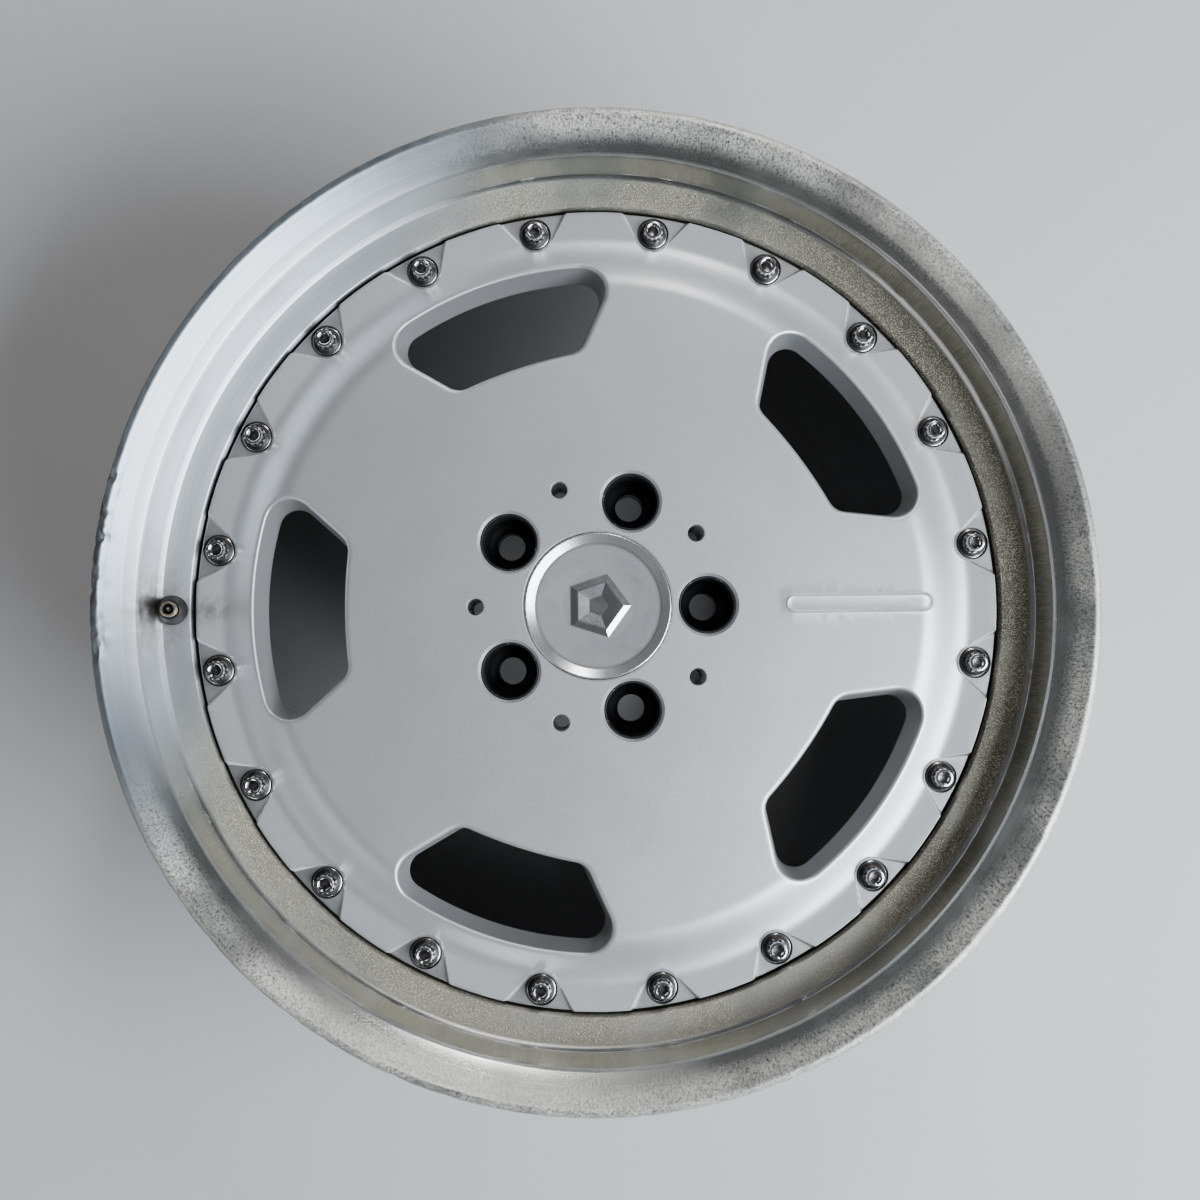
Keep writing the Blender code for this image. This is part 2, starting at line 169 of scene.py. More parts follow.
def shade(item, crease=CREASE):
    """Shade smoothly, but keep edges sharp where faces turn by more than some degrees."""
    item.data.shade_smooth()
    item.data.set_sharp_from_angle(angle=math.radians(crease))


def piece_from(node, shape, finish, slot, body="wheel", crease=CREASE):
    """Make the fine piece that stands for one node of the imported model."""
    item = add_object(f"{node}_fine", shape)
    shade(item, crease)
    item.data.materials.append(finish)
    register(item, body, [node])
    return item


def register(item, body, replaced):
    """Hang a piece on the body it rides on, and hide the nodes it stands for."""
    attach(item, body)
    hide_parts(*replaced)


def cut_away(target, cutter):
    """Subtract a cutter, keep the result as the target's mesh, and delete the cutter."""
    cut = target.modifiers.new("cut", "BOOLEAN")
    cut.operation = "DIFFERENCE"
    cut.object = cutter
    depsgraph = bpy.context.evaluated_depsgraph_get()
    mesh = bpy.data.meshes.new_from_object(target.evaluated_get(depsgraph))
    target.modifiers.clear()
    target.data = mesh
    bpy.data.objects.remove(cutter)


def softened(corners, closed=True, steps=4):
    """Round each corner of a profile that has a third number, its fillet radius."""
    points = []
    for i, (radius, height, *fillet) in enumerate(corners):
        here = Vector((radius, height))
        if not fillet or (not closed and i in (0, len(corners) - 1)):
            points.append(here)
            continue
        before = Vector(corners[i - 1][:2]) - here
        after = Vector(corners[(i + 1) % len(corners)][:2]) - here
        reach = fillet[0] / math.tan(before.angle(after) / 2)
        reach = min(reach, 0.48 * before.length, 0.48 * after.length)
        start = here + reach * before.normalized()
        end = here + reach * after.normalized()
        for k in range(steps + 1):
            t = k / steps
            points.append(start * (1 - t) ** 2 + here * (2 * t * (1 - t)) + end * t * t)
    return points


def divided(points, longest, closed=True):
    """Add points so that no stretch of a profile is longer than this."""
    result = []
    for here, there in zip(points, points[1:] + points[:1] if closed else points[1:]):
        count = max(1, math.ceil((there - here).length / longest))
        result += [here.lerp(there, k / count) for k in range(count)]
    return result if closed else result + [points[-1]]


def polar(radius, angle):
    return radius * math.cos(angle), radius * math.sin(angle)


def circle(radius, angle):
    return radius


def polygon(sides, radius, angle):
    """Distance to a polygon's side, for a radius given across its corners; one is at angle 0."""
    step = math.tau / sides
    return radius * math.cos(step / 2) / math.cos(angle % step - step / 2)


def five_sides(radius, angle):
    return polygon(5, radius, angle)


def hexagon(radius, angle):
    return polygon(6, radius, angle + math.pi / 6)


def twelve_points(radius, angle):
    """A twelve-point bolt head: two hexagons laid over each other."""
    return max(hexagon(radius, angle), hexagon(radius, angle + math.pi / 6))


def add_turned(shape, profile, segments, centre=(0.0, 0.0), forms=None):
    """Turn a profile about Z. It closes on itself, or ends on the axis where its radius is 0."""
    rings = []
    offset = Vector((*centre, 0.0))
    for i, (radius, height) in enumerate(profile):
        form = forms[i] if forms else circle
        level = []
        for k in range(segments if radius > 0.0 else 1):
            angle = math.tau * k / segments
            spot = Vector((*polar(form(radius, angle) if radius > 0.0 else 0.0, angle), height))
            level.append(shape.verts.new((spot + offset) * MM))
        rings.append(level)
    bands = list(zip(rings, rings[1:]))
    if profile[0][0] > 0.0:
        bands.append((rings[-1], rings[0]))
    for upper, lower in bands:
        for i in range(segments):
            j = (i + 1) % segments
            corners = [upper[i % len(upper)], upper[j % len(upper)]]
            corners += [lower[j % len(lower)], lower[i % len(lower)]]
            shape.faces.new(list(dict.fromkeys(corners)))


def join_rings(shape, rings, closed=False):
    """Fill the gaps between neighbouring rings that have equally many corners."""
    for upper, lower in zip(rings, rings[1:] + rings[:1] if closed else rings[1:]):
        for i in range(len(upper)):
            j = (i + 1) % len(upper)
            shape.faces.new((upper[i], upper[j], lower[j], lower[i]))


def add_bar(shape, rings):
    """Join rings into a closed bar with a flat face at each end."""
    join_rings(shape, rings)
    shape.faces.new(rings[0])
    shape.faces.new(rings[-1])


def add_wire(shape, radius, thickness, sides, steps, angles, heights):
    """Wind a round wire about Z, evenly from one angle and height to another."""
    rings = []
    for k in range(steps + 1):
        angle, height = (first + (last - first) * k / steps for first, last in (angles, heights))
        section = []
        for i in range(sides):
            out, up = polar(thickness / 2, math.tau * i / sides)
            section.append(shape.verts.new(Vector((*polar(radius + out, angle), height + up)) * MM))
        rings.append(section)
    add_bar(shape, rings)


def turned(node, profile, segments, finish, slot, forms=None, **options):
    shape = bmesh.new()
    add_turned(shape, [tuple(point) for point in profile], segments, forms=forms)
    return piece_from(node, shape, finish, slot, **options)


def spot_on(circle_radius, k, count, phase=0.0):
    return polar(circle_radius, math.tau * (k + phase) / count)


# Disc: both sides are heights over the plane, meshed through rings that follow each feature

def fold(points, count, phase=0.0):
    """Turn each point into the frame of the nearest of a circle's repeated features."""
    angle = np.arctan2(points[:, 1], points[:, 0])
    step = math.tau / count
    local = (angle - phase * step + step / 2) % step - step / 2
    radius = np.hypot(points[:, 0], points[:, 1])
    return np.stack([radius * np.cos(local), radius * np.sin(local)], axis=1)


def turn(points, angle):
    c, s = math.cos(angle), math.sin(angle)
    return points @ np.array([[c, s], [-s, c]])


def ring(radius, count, centre=(0.0, 0.0)):
    angle = np.arange(count) * math.tau / count
    return np.stack([radius * np.cos(angle), radius * np.sin(angle)], axis=1) + np.array(centre)


def arc(centre, radius, start, end, spacing):
    steps = max(3, round(abs(end - start) * radius / spacing))
    angle = np.linspace(start, end, steps + 1)
    direction = np.stack([np.cos(angle), np.sin(angle)], axis=1)
    return np.array(centre) + radius * direction, direction


def fillet_centre(curve_x, distance, corner):
    """Centre of a corner arc that touches the window's straight side, as in the model."""
    along = np.array([math.cos(WINDOW_SIDE_ANGLE), math.sin(WINDOW_SIDE_ANGLE)])
    inward = np.array([along[1], -along[0]])
    start = np.array(WINDOW_SIDE_POINT) + corner * inward - np.array([curve_x, 0.0])
    half = start @ along
    travel = -half + math.sqrt(half * half - start @ start + distance * distance)
    return start + travel * along + np.array([curve_x, 0.0])


def window_outline(spacing=1.6):
    """Points and outward directions round one window, about the X axis."""
    curve_x = WINDOW_INNER_MIDDLE - WINDOW_INNER_CURVE
    outer = fillet_centre(0.0, WINDOW_OUTER_RADIUS - WINDOW_OUTER_CORNER, WINDOW_OUTER_CORNER)
    inner = fillet_centre(curve_x, WINDOW_INNER_CURVE + WINDOW_INNER_CORNER, WINDOW_INNER_CORNER)
    side = WINDOW_SIDE_ANGLE + math.pi / 2
    outer_turn = math.atan2(outer[1], outer[0])
    inner_turn = math.atan2(inner[1], inner[0] - curve_x)
    runs = [
        arc((0.0, 0.0), WINDOW_OUTER_RADIUS, 0.0, outer_turn, spacing),
        arc(outer, WINDOW_OUTER_CORNER, outer_turn, side, spacing),
    ]
    last, first = runs[-1][0][-1], inner + WINDOW_INNER_CORNER * runs[-1][1][-1]
    share = np.linspace(0.0, 1.0, round(np.hypot(*(first - last)) / spacing) + 1)[1:-1, None]
    runs.append((last + share * (first - last), np.repeat(runs[-1][1][-1:], len(share), axis=0)))
    runs.append(arc(inner, WINDOW_INNER_CORNER, side, inner_turn + math.pi, spacing))
    edge, outward = arc((curve_x, 0.0), WINDOW_INNER_CURVE, inner_turn, 0.0, spacing)
    runs.append((edge, -outward))
    points, directions = [], []
    for run, facing in runs:
        skip = 1 if points and np.hypot(*(run[0] - points[-1])) < 0.01 else 0
        points += list(run[skip:])
        directions += list(facing[skip:])
    points, directions = np.array(points), np.array(directions)
    flip = np.array([1.0, -1.0])
    points = np.concatenate([points, points[-2:0:-1] * flip])
    directions = np.concatenate([directions, directions[-2:0:-1] * flip])
    return points, directions


WINDOW_POINTS, WINDOW_DIRECTIONS = window_outline()


def window_distance(points):
    """Distance from each point to the nearest window's outline, negative inside the window."""
    local = fold(points, LUG_COUNT, 0.5)
    starts, ends = WINDOW_POINTS, np.roll(WINDOW_POINTS, -1, axis=0)
    along = ends - starts
    lengths = (along ** 2).sum(axis=1)
    result = np.empty(len(local))
    for first in range(0, len(local), 4000):
        block = local[first:first + 4000, None, :]
        share = (((block - starts) * along).sum(axis=2) / lengths).clip(0.0, 1.0)
        gap = block - starts - share[:, :, None] * along
        nearest = np.sqrt((gap ** 2).sum(axis=2).min(axis=1))
        above = starts[:, 1] > block[:, :, 1]
        crossing = above != (ends[:, 1] > block[:, :, 1])
        rise = np.where(along[:, 1] == 0.0, 1.0, along[:, 1])
        meet = starts[:, 0] + (block[:, :, 1] - starts[:, 1]) / rise * along[:, 0]
        inside = (crossing & (block[:, :, 0] < meet)).sum(axis=1) % 2 == 1
        result[first:first + 4000] = np.where(inside, -nearest, nearest)
    return result


def pocket_distance(points):
    """Distance to the nearest bolt pocket's floor: a round nose whose sides flare outward."""
    local = fold(points, BOLT_COUNT, 0.5) - np.array([BOLT_CIRCLE, 0.0])
    across = np.abs(local[:, 1])
    sine, cosine = math.sin(POCKET_SIDE_ANGLE), math.cos(POCKET_SIDE_ANGLE)
    nose = np.hypot(local[:, 0], across)
    side = across * cosine - local[:, 0] * sine
    beyond = local[:, 0] * cosine + across * sine > 0.0
    return np.where(beyond, side, nose) - POCKET_NOSE


def bar_distance(points):
    """Distance to the middle line of the plain embossed frame between hub and rim."""
    past = np.maximum(np.abs(points[:, 0] - BAR_MIDDLE) - BAR_HALF_LENGTH, 0.0)
    return np.hypot(past, points[:, 1]) - BAR_RADIUS + (points[:, 0] < 0.0) * 1000.0


def smooth_min(a, b, blend):
    overlap = np.maximum(blend - np.abs(a - b), 0.0) / blend
    return np.minimum(a, b) - overlap ** 2 * blend / 4


def rounding(distance, radius):
    """How far a rounded edge has dropped at a distance in from it."""
    inward = (radius - distance).clip(0.0, radius * 0.9995)
    return radius - np.sqrt(radius ** 2 - inward ** 2)


def front_height(points):
    rho = np.hypot(points[:, 0], points[:, 1])
    t = ((rho - SHOULDER_START) / (SHOULDER_END - SHOULDER_START)).clip(0.0, 1.0)
    land = -SHOULDER_DROP * t * t * (3 - 2 * t) + LAND_RISE * (rho - SHOULDER_END).clip(0.0)
    wall = POCKET_FLOOR + pocket_distance(points) / POCKET_DRAFT
    bowl = -smooth_min(np.full(len(points), -POCKET_FLOOR), -wall, 0.7)
    height = smooth_min(land, bowl, 0.4)
    height -= rounding(DISC_RADIUS - rho, DISC_EDGE_ROUND)
    height -= rounding(window_distance(points).clip(0.0), WINDOW_ROUND)
    ridge = (1.0 - np.abs(bar_distance(points)) / BAR_HALF_WIDTH).clip(0.0, 1.0)
    return height + BAR_HEIGHT * ridge ** 2 * (3 - 2 * ridge)


def back_height(points):
    rho = np.hypot(points[:, 0], points[:, 1])
    heights = [HUB_BACK, WEB_BACK - 2.0, WEB_BACK, DISC_BACK]
    return np.interp(rho, WEB_RADII, heights)


def windows_at(spread):
    """The five windows' outlines, moved outward by a distance."""
    outline = WINDOW_POINTS + spread * WINDOW_DIRECTIONS
    return [turn(outline, math.tau * (k + 0.5) / LUG_COUNT) for k in range(LUG_COUNT)]


def hole_rings(radii):
    """A ring round every lug, peg and bolt hole, given one radius for each kind."""
    rings = []
    for (circle_radius, count, phase, segments), radius in zip(HOLE_SETS, radii):
        rings += [ring(radius, segments, spot_on(circle_radius, k, count, phase)) for k in range(count)]
    return rings


def in_holes(points, radii, margin=0.0):
    """Which points lie in lug, peg and bolt holes, given one radius for each kind."""
    inside = np.zeros(len(points), bool)
    for (circle_radius, count, phase, _), radius in zip(HOLE_SETS, radii):
        local = fold(points, count, phase) - np.array([circle_radius, 0.0])
        inside |= np.hypot(*local.T) < radius + margin
    return inside


def pocket_rings():
    """Points that follow the pockets' walls at several distances from their floors."""
    points = []
    half_turn = math.pi / 2 - POCKET_SIDE_ANGLE
    along = np.array([math.cos(POCKET_SIDE_ANGLE), math.sin(POCKET_SIDE_ANGLE)])
    for spread in (-0.5, -0.2, 0.05, 0.25, 0.45, 0.65, 0.85, 1.05, 1.3, 1.55, 1.9, 2.4):
        nose, _ = arc((BOLT_CIRCLE, 0.0), POCKET_NOSE + spread, math.pi - half_turn,
                      math.pi + half_turn, 0.8)
        runs = [nose]
        for sign in (1.0, -1.0):
            start = nose[0] if sign > 0 else nose[-1]
            travel = np.arange(0.8, 16.0, 0.8)[:, None]
            runs.append(start + travel * along * np.array([1.0, sign]))
        outline = np.concatenate(runs)
        outline = outline[np.hypot(*outline.T) < DISC_RADIUS - DISC_EDGE_ROUND - 0.3]
        points += [turn(outline, math.tau * (k + 0.5) / BOLT_COUNT) for k in range(BOLT_COUNT)]
    return np.concatenate(points)


def bar_rings():
    """Points that follow the embossed frame's ridge at several distances from its middle line."""
    points = []
    for share in (*np.linspace(-1.3, 1.3, 4), -0.66, -0.33, 0.0, 0.33, 0.66):
        radius = BAR_RADIUS + share * BAR_HALF_WIDTH
        for sign in (1.0, -1.0):
            centre = (BAR_MIDDLE + sign * BAR_HALF_LENGTH, 0.0)
            points.append(arc(centre, radius, -sign * math.pi / 2, (2 - sign) * math.pi / 2, 0.6)[0])
            travel = np.arange(-BAR_HALF_LENGTH, BAR_HALF_LENGTH, 0.9)
            points.append(np.stack([BAR_MIDDLE + travel, np.full(len(travel), sign * radius)], axis=1))
    return np.concatenate(points)


def add_corners(shape, points, heights):
    return [shape.verts.new((x * MM, y * MM, z * MM)) for (x, y), z in zip(points, heights)]


def add_side(shape, height, edge, bore, sill, holes, scatter, circles=()):
    """Mesh a side of the disc from its bore to its edge, outside its holes and windows.

    Triangles keep the outlines of these and any circles, with scattered points between them.
    """
    loops = [ring(edge, EDGE_SEGMENTS), ring(bore, BORE_SEGMENTS), *circles, *windows_at(sill)]
    points, edges = [], []
    for loop in loops + hole_rings(holes):
        first = len(points)
        points += [Vector(point) for point in loop]
        edges += [(first + i, first + (i + 1) % len(loop)) for i in range(len(loop))]
    points += [Vector(point) for point in scatter]
    made = delaunay_2d_cdt(points, edges, [], 0, 1e-5)
    corners = np.array([tuple(point) for point in made[0]])
    triangles = np.array(made[2])
    middles = corners[triangles].mean(axis=1)
    radius = np.hypot(*middles.T)
    open_space = in_holes(middles, holes) | (window_distance(middles) < sill)
    verts = add_corners(shape, corners, height(corners))
    for triangle in triangles[~open_space & (radius > bore) & (radius < edge)]:
        shape.faces.new([verts[i] for i in triangle])
    for vert in [v for v in verts if not v.link_faces]:
        shape.verts.remove(vert)


def add_strip(shape, levels):
    """Join closed rings, each (points in the plane, height or heights), into a wall."""
    join_rings(shape, [add_corners(shape, points, np.broadcast_to(height, len(points)))
                       for points, height in levels])


def add_disc_front(shape):
    bore = CAP_BORE + CAP_CHAMFER
    spreads = WINDOW_ROUND * (1 - np.cos(np.radians([14, 26, 38, 50, 62, 74, 86])))
    follow = [loop for spread in (*spreads, 3.2, 4.6) for loop in windows_at(spread)]
    coarse = [ring(radius, 120) for radius in range(44, 132, 8)]
    coarse += [ring(radius, 300) for radius in range(132, 160, 5)]
    shoulder = [ring(radius, 720) for radius in np.arange(160.0, 203.0, 1.4)]
    background = np.concatenate(coarse + shoulder)
    distance = window_distance(background)
    pocket = pocket_distance(background)
    bar = np.abs(bar_distance(background))
    clear = (distance > 5.5) & ((pocket > 3.0) | (pocket < -1.1)) & (bar > 1.6)
    edge = DISC_RADIUS - DISC_EDGE_ROUND * (1 - np.cos(np.radians([17, 30, 42, 54, 66, 78, 90])))
    scatter = np.concatenate([*follow, background[clear], pocket_rings(), bar_rings(),
                              *[ring(radius, EDGE_SEGMENTS) for radius in edge]])
    rho = np.hypot(*scatter.T)
    near_hole = in_holes(scatter, FRONT_HOLES, 0.25)
    scatter = scatter[~near_hole & (rho > bore + 1.0) & (rho < DISC_RADIUS - 0.05)]
    add_side(shape, front_height, DISC_RADIUS, bore, WINDOW_GAP, FRONT_HOLES, scatter)


def add_disc_back(shape):
    scatter = np.concatenate([ring(radius, 120) for radius in range(96, 180, 8)])
    scatter = scatter[window_distance(scatter) > 2.0]
    circles = [ring(radius, 240) for radius in WEB_RADII]
    add_side(shape, back_height, DISC_RADIUS - CHAMFER, HUB_BORE + CHAMFER, CHAMFER - WINDOW_DRAFT,
             BACK_HOLES, scatter, circles)


def add_disc_walls(shape):
    rim, rim_back = ring(DISC_RADIUS, EDGE_SEGMENTS), ring(DISC_RADIUS - CHAMFER, EDGE_SEGMENTS)
    add_strip(shape, [(rim, front_height(rim)), (rim, DISC_BACK + CHAMFER), (rim_back, DISC_BACK)])
    bore = [(CAP_BORE + CAP_CHAMFER, 0.0), (CAP_BORE, -CAP_CHAMFER), (CAP_BORE, CAP_FLOOR),
            (HUB_BORE, CAP_FLOOR), (HUB_BORE, HUB_BACK + CHAMFER), (HUB_BORE + CHAMFER, HUB_BACK)]
    add_strip(shape, [(ring(radius, BORE_SEGMENTS), z) for radius, z in bore])
    tops, walls = windows_at(WINDOW_GAP), windows_at(0.0)
    bottoms, backs = windows_at(-WINDOW_DRAFT), windows_at(CHAMFER - WINDOW_DRAFT)
    for top, wall, bottom, back in zip(tops, walls, bottoms, backs):
        under = back_height(back)
        sill = front_height(top)
        add_strip(shape, [(top, sill), (wall, sill - 0.3), (bottom, under + CHAMFER), (back, under)])
    lug = [(LUG_MOUTH, 0.0), (LUG_BORE, LUG_BORE - LUG_MOUTH), (LUG_BORE, LUG_FLOOR),
           (LUG_HOLE, LUG_FLOOR), (LUG_HOLE, HUB_BACK + CHAMFER), (LUG_HOLE + CHAMFER, HUB_BACK)]
    peg = [(PEG_MOUTH, 0.0), (PEG_HOLE, PEG_HOLE - PEG_MOUTH), (PEG_HOLE, HUB_BACK + CHAMFER),
           (PEG_HOLE + CHAMFER, HUB_BACK)]
    bolt = [(BOLT_SEAT_RADIUS, POCKET_FLOOR), (BOLT_SEAT_RADIUS, BOLT_SEAT), (BOLT_HOLE, BOLT_SEAT),
            (BOLT_HOLE, DISC_BACK)]
    for (circle_radius, count, phase, segments), profile in zip(HOLE_SETS, (lug, peg, bolt)):
        for k in range(count):
            spot = spot_on(circle_radius, k, count, phase)
            add_strip(shape, [(ring(radius, segments, spot), z) for radius, z in profile])


def make_disc(finish):
    shape = bmesh.new()
    add_disc_front(shape)
    add_disc_back(shape)
    add_disc_walls(shape)
    bmesh.ops.remove_doubles(shape, verts=shape.verts, dist=2e-6)
    piece_from("centre_disc", shape, finish, "disc_paint", crease=35)


# Rim halves and the bead between them

def band_underside(radius):
    drop = BAND_THICKNESS / math.cos(BAND_TILT)
    return BAND_START[1] - drop + (radius - BAND_START[0]) * math.tan(BAND_TILT)


def scuffed(point, depth, start, end, cell):
    """Depth of the kerb's bites at a point of the rim's edge, between two directions."""
    angle = math.degrees(math.atan2(point.y, point.x)) % 360
    fade = min(angle - start, end - angle) / 4
    if fade <= 0:
        return 0.0
    lumps = noise.noise(point / (cell * MM)) + 0.4 * noise.noise(point / (0.3 * cell * MM))
    return depth * MM * min(fade, 1.0) * max(lumps, 0.0)


def wear_edge(item):
    """Bite kerb damage out of the outboard edge, worst on the valve's side."""
    for vert in item.data.vertices:
        point = vert.co
        radius = math.hypot(point.x, point.y) / MM
        if radius < WEAR_RADIUS or point.z / MM < WEAR_HEIGHT:
            continue
        bite = sum(scuffed(point, *scuff) for scuff in SCUFFS)
        bite *= min((radius - WEAR_RADIUS) / WEAR_FADE, 1.0)
        point.x *= 1.0 - bite / (radius * MM)
        point.y *= 1.0 - bite / (radius * MM)
        point.z -= 0.5 * bite
    item.data.update()


def cut_bolt_holes(item, top, bottom):
    shape = bmesh.new()
    profile = [(0.0, top), (BOLT_HOLE, top), (BOLT_HOLE, bottom), (0.0, bottom)]
    for k in range(BOLT_COUNT):
        add_turned(shape, profile, 24, spot_on(BOLT_CIRCLE, k, BOLT_COUNT, 0.5))
    cut_away(item, add_object("bolt_hole_cutter", shape))


def make_lip(finish):
    corners = [
        (PILOT_RADIUS, -13.5), (*BAND_START, 1.0), (*BAND_END, 1.4), (226.0, -4.6, 2.0),
        (228.4, 13.6, 1.6), (229.6, 15.4, 2.4), (235.6, 18.6, 5.0), (241.6, 24.0, 4.0),
        (244.6, LIP_TOP, 2.2), (RIM_RADIUS - 1.4, LIP_TOP - 0.9, 2.0),
        (RIM_RADIUS, LIP_TOP - 3.5, 2.0), (RIM_RADIUS, 12.5, 0.8),
        (238.0, 12.5, 3.0), (233.0, 10.7, 3.0), (230.8, 6.0, 4.0), (229.4, -9.2, 2.0),
        (230.2, -11.0, 0.8), (228.0, band_underside(228.0), 2.0),
        (WELL_RADIUS, band_underside(WELL_RADIUS), 4.0), (WELL_RADIUS, LIP_FLANGE_BACK, 0.4),
        (RIM_FLANGE_INNER, LIP_FLANGE_BACK, 0.4), (RIM_FLANGE_INNER, LIP_FLANGE_FRONT, 0.4),
        (PILOT_RADIUS, LIP_FLANGE_FRONT),
    ]
    profile = divided(softened(corners, steps=4), 5.0)
    lip = turned("outer_lip", profile, 720, finish, "polished_lip")
    cut_bolt_holes(lip, -18.0, -32.0)
    shape = bmesh.new()
    add_turned(shape, [(0.0, 6.0), (VALVE_HOLE, 6.0), (VALVE_HOLE, -12.0), (0.0, -12.0)], 48)
    cut_away(lip, on_valve_axis(add_object("valve_hole_cutter", shape)))
    wear_edge(lip)
    shade(lip)


def make_barrel(finish):
    inside = WELL_RADIUS - 5.0
    corners = [
        (WELL_RADIUS, BARREL_FLANGE_FRONT, 0.4), (WELL_RADIUS, -54.0, 8.0),
        (224.5, -84.0, 9.0), (224.5, -162.0, 3.0), (229.8, -166.5, 1.6), (229.3, -169.0, 2.0),
        (230.8, -184.2, 3.0), (233.0, -188.9, 3.0), (238.0, -190.7, 2.5), (RIM_RADIUS, -190.7, 0.8),
        (RIM_RADIUS, -199.7, 2.2), (246.0, FLOOR, 2.2), (238.5, FLOOR, 3.0), (231.0, -198.7, 5.0),
        (225.6, -189.7, 6.0), (223.6, -168.0, 6.0), (219.0, -158.0, 8.0), (219.0, -86.0, 9.0),
        (inside, -56.0, 8.0), (inside, BARREL_FLANGE_BACK, 3.0),
        (RIM_FLANGE_INNER, BARREL_FLANGE_BACK, 0.5), (RIM_FLANGE_INNER, BARREL_FLANGE_FRONT, 0.4),
    ]
    profile = divided(softened(corners, steps=5), 6.0)
    barrel = turned("inner_barrel", profile, 480, finish, "barrel_metal")
    cut_bolt_holes(barrel, -25.0, -38.0)
    shade(barrel)


def make_sealant(finish):
    """A bead laid by hand: its outline wanders a little round the joint."""
    joint = (LIP_FLANGE_BACK + BARREL_FLANGE_FRONT) / 2
    inside = WELL_RADIUS + 0.6
    shape = bmesh.new()
    rings = []
    for k in range(480):
        angle = math.tau * k / 480
        wander = noise.noise(Vector((*polar(9, angle), 3.0)))
        tall, thick = 2.9 + 0.3 * wander, 2.2 + 0.35 * wander
        corners = [(inside, joint + tall)]
        for share in (0.12, 0.3, 0.5, 0.7, 0.88):
            bulge = math.sin(math.pi * share) ** 0.7
            corners.append((inside + thick * bulge, joint + tall * (1 - 2 * share)))
        corners.append((inside, joint - tall))
        rings.append([shape.verts.new(Vector((*polar(r, angle), z)) * MM) for r, z in corners])
    join_rings(shape, rings, closed=True)
    piece_from("rim_sealant", shape, finish, "sealant")


# Assembly hardware

def thread(radius, top, bottom, pitch, depth):
    """A screw thread's profile as grooves, from the top down."""
    points, height = [], top
    while height - pitch > bottom:
        points += [(radius, height), (radius, height - 0.25 * pitch),
                   (radius - depth, height - 0.55 * pitch), (radius - depth, height - 0.7 * pitch)]
        height -= pitch
    return points


def make_bolt(k, finish):
    """A flanged twelve-point bolt in its pocket, turned as the wrench left it."""
    threads = reversed(thread(4.0, -31.0, -42.3, 1.25, 0.45))
    plain = [(0.0, -43.0), (3.3, -43.0), (3.9, -42.5), *threads, (4.0, -30.6), (4.0, BOLT_SEAT),
             (6.9, BOLT_SEAT + 0.3), (7.25, -11.6), (7.4, -11.3), (7.3, -10.95), (6.9, -10.75),
             (6.2, -10.5), (5.9, -10.25), (5.5, -9.95)]
    wrench = [(5.12, -9.75), (4.95, -9.45), (4.95, -3.95), (4.8, -3.6)]
    crown = [(4.3, -3.12), (3.95, -3.0), (3.45, -3.0), (3.15, -3.2), (3.0, -3.7), (2.85, -5.0),
             (2.5, -5.35), (1.2, -5.5), (0.0, -5.55)]
    profile = plain + wrench + crown
    forms = [circle] * len(plain) + [twelve_points] * len(wrench) + [circle] * len(crown)
    node = f"assembly_bolt_{k + 1:02d}"
    bolt = turned(node, profile, 72, finish, "bolt_chrome", forms=forms, crease=28)
    stand_on_bolt_circle(bolt, k)


def make_nut(k, finish):
    """A flanged hexagon nut behind the rim flange."""
    top, bottom = -34.9, -41.4
    profile = [(4.35, top - 0.5), (4.9, top), (7.1, top), (7.4, top - 0.35), (7.3, top - 1.0),
               (6.9, top - 1.5), (6.75, top - 1.6), (6.75, bottom + 0.7), (6.0, bottom),
               (4.9, bottom), (4.35, bottom + 0.5)]
    forms = [circle] * 6 + [hexagon] * 2 + [circle] * 3
    profile += reversed(thread(4.75, top - 1.0, bottom + 0.8, 1.25, 0.4))
    forms += [circle] * (len(profile) - len(forms))
    node = f"assembly_nut_{k + 1:02d}"
    nut = turned(node, profile, 48, finish, "nut_zinc", forms=forms, crease=28)
    stand_on_bolt_circle(nut, k)


def stand_on_bolt_circle(item, k):
    x, y = spot_on(BOLT_CIRCLE, k, BOLT_COUNT, 0.5)
    item.location = (x * MM, y * MM, HUB_FACE * MM)
    item.rotation_euler.z = 2.4 * k + 0.7 * math.sin(5.0 * k)


def make_lug_seat(k, finish):
    """A black sleeve in a lug bore, ending in the wheel bolt's ball seat."""
    corners = [
        (14.5, -1.8, 0.2), (13.7, -1.8, 0.35), (13.5, -21.0, 2.0), (11.6, -26.0, 3.0),
        (7.2, -29.5, 0.8), (7.2, -34.0), (14.5, -34.0),
    ]
    profile = divided(softened(corners, steps=6), 2.0)
    seat = turned(f"lug_seat_{k + 1}", profile, 96, finish, "seat_black")
    x, y = spot_on(LUG_CIRCLE, k, LUG_COUNT)
    seat.location.x, seat.location.y = x * MM, y * MM
    seat.rotation_euler.z = 1.9 * k


# Centre cap

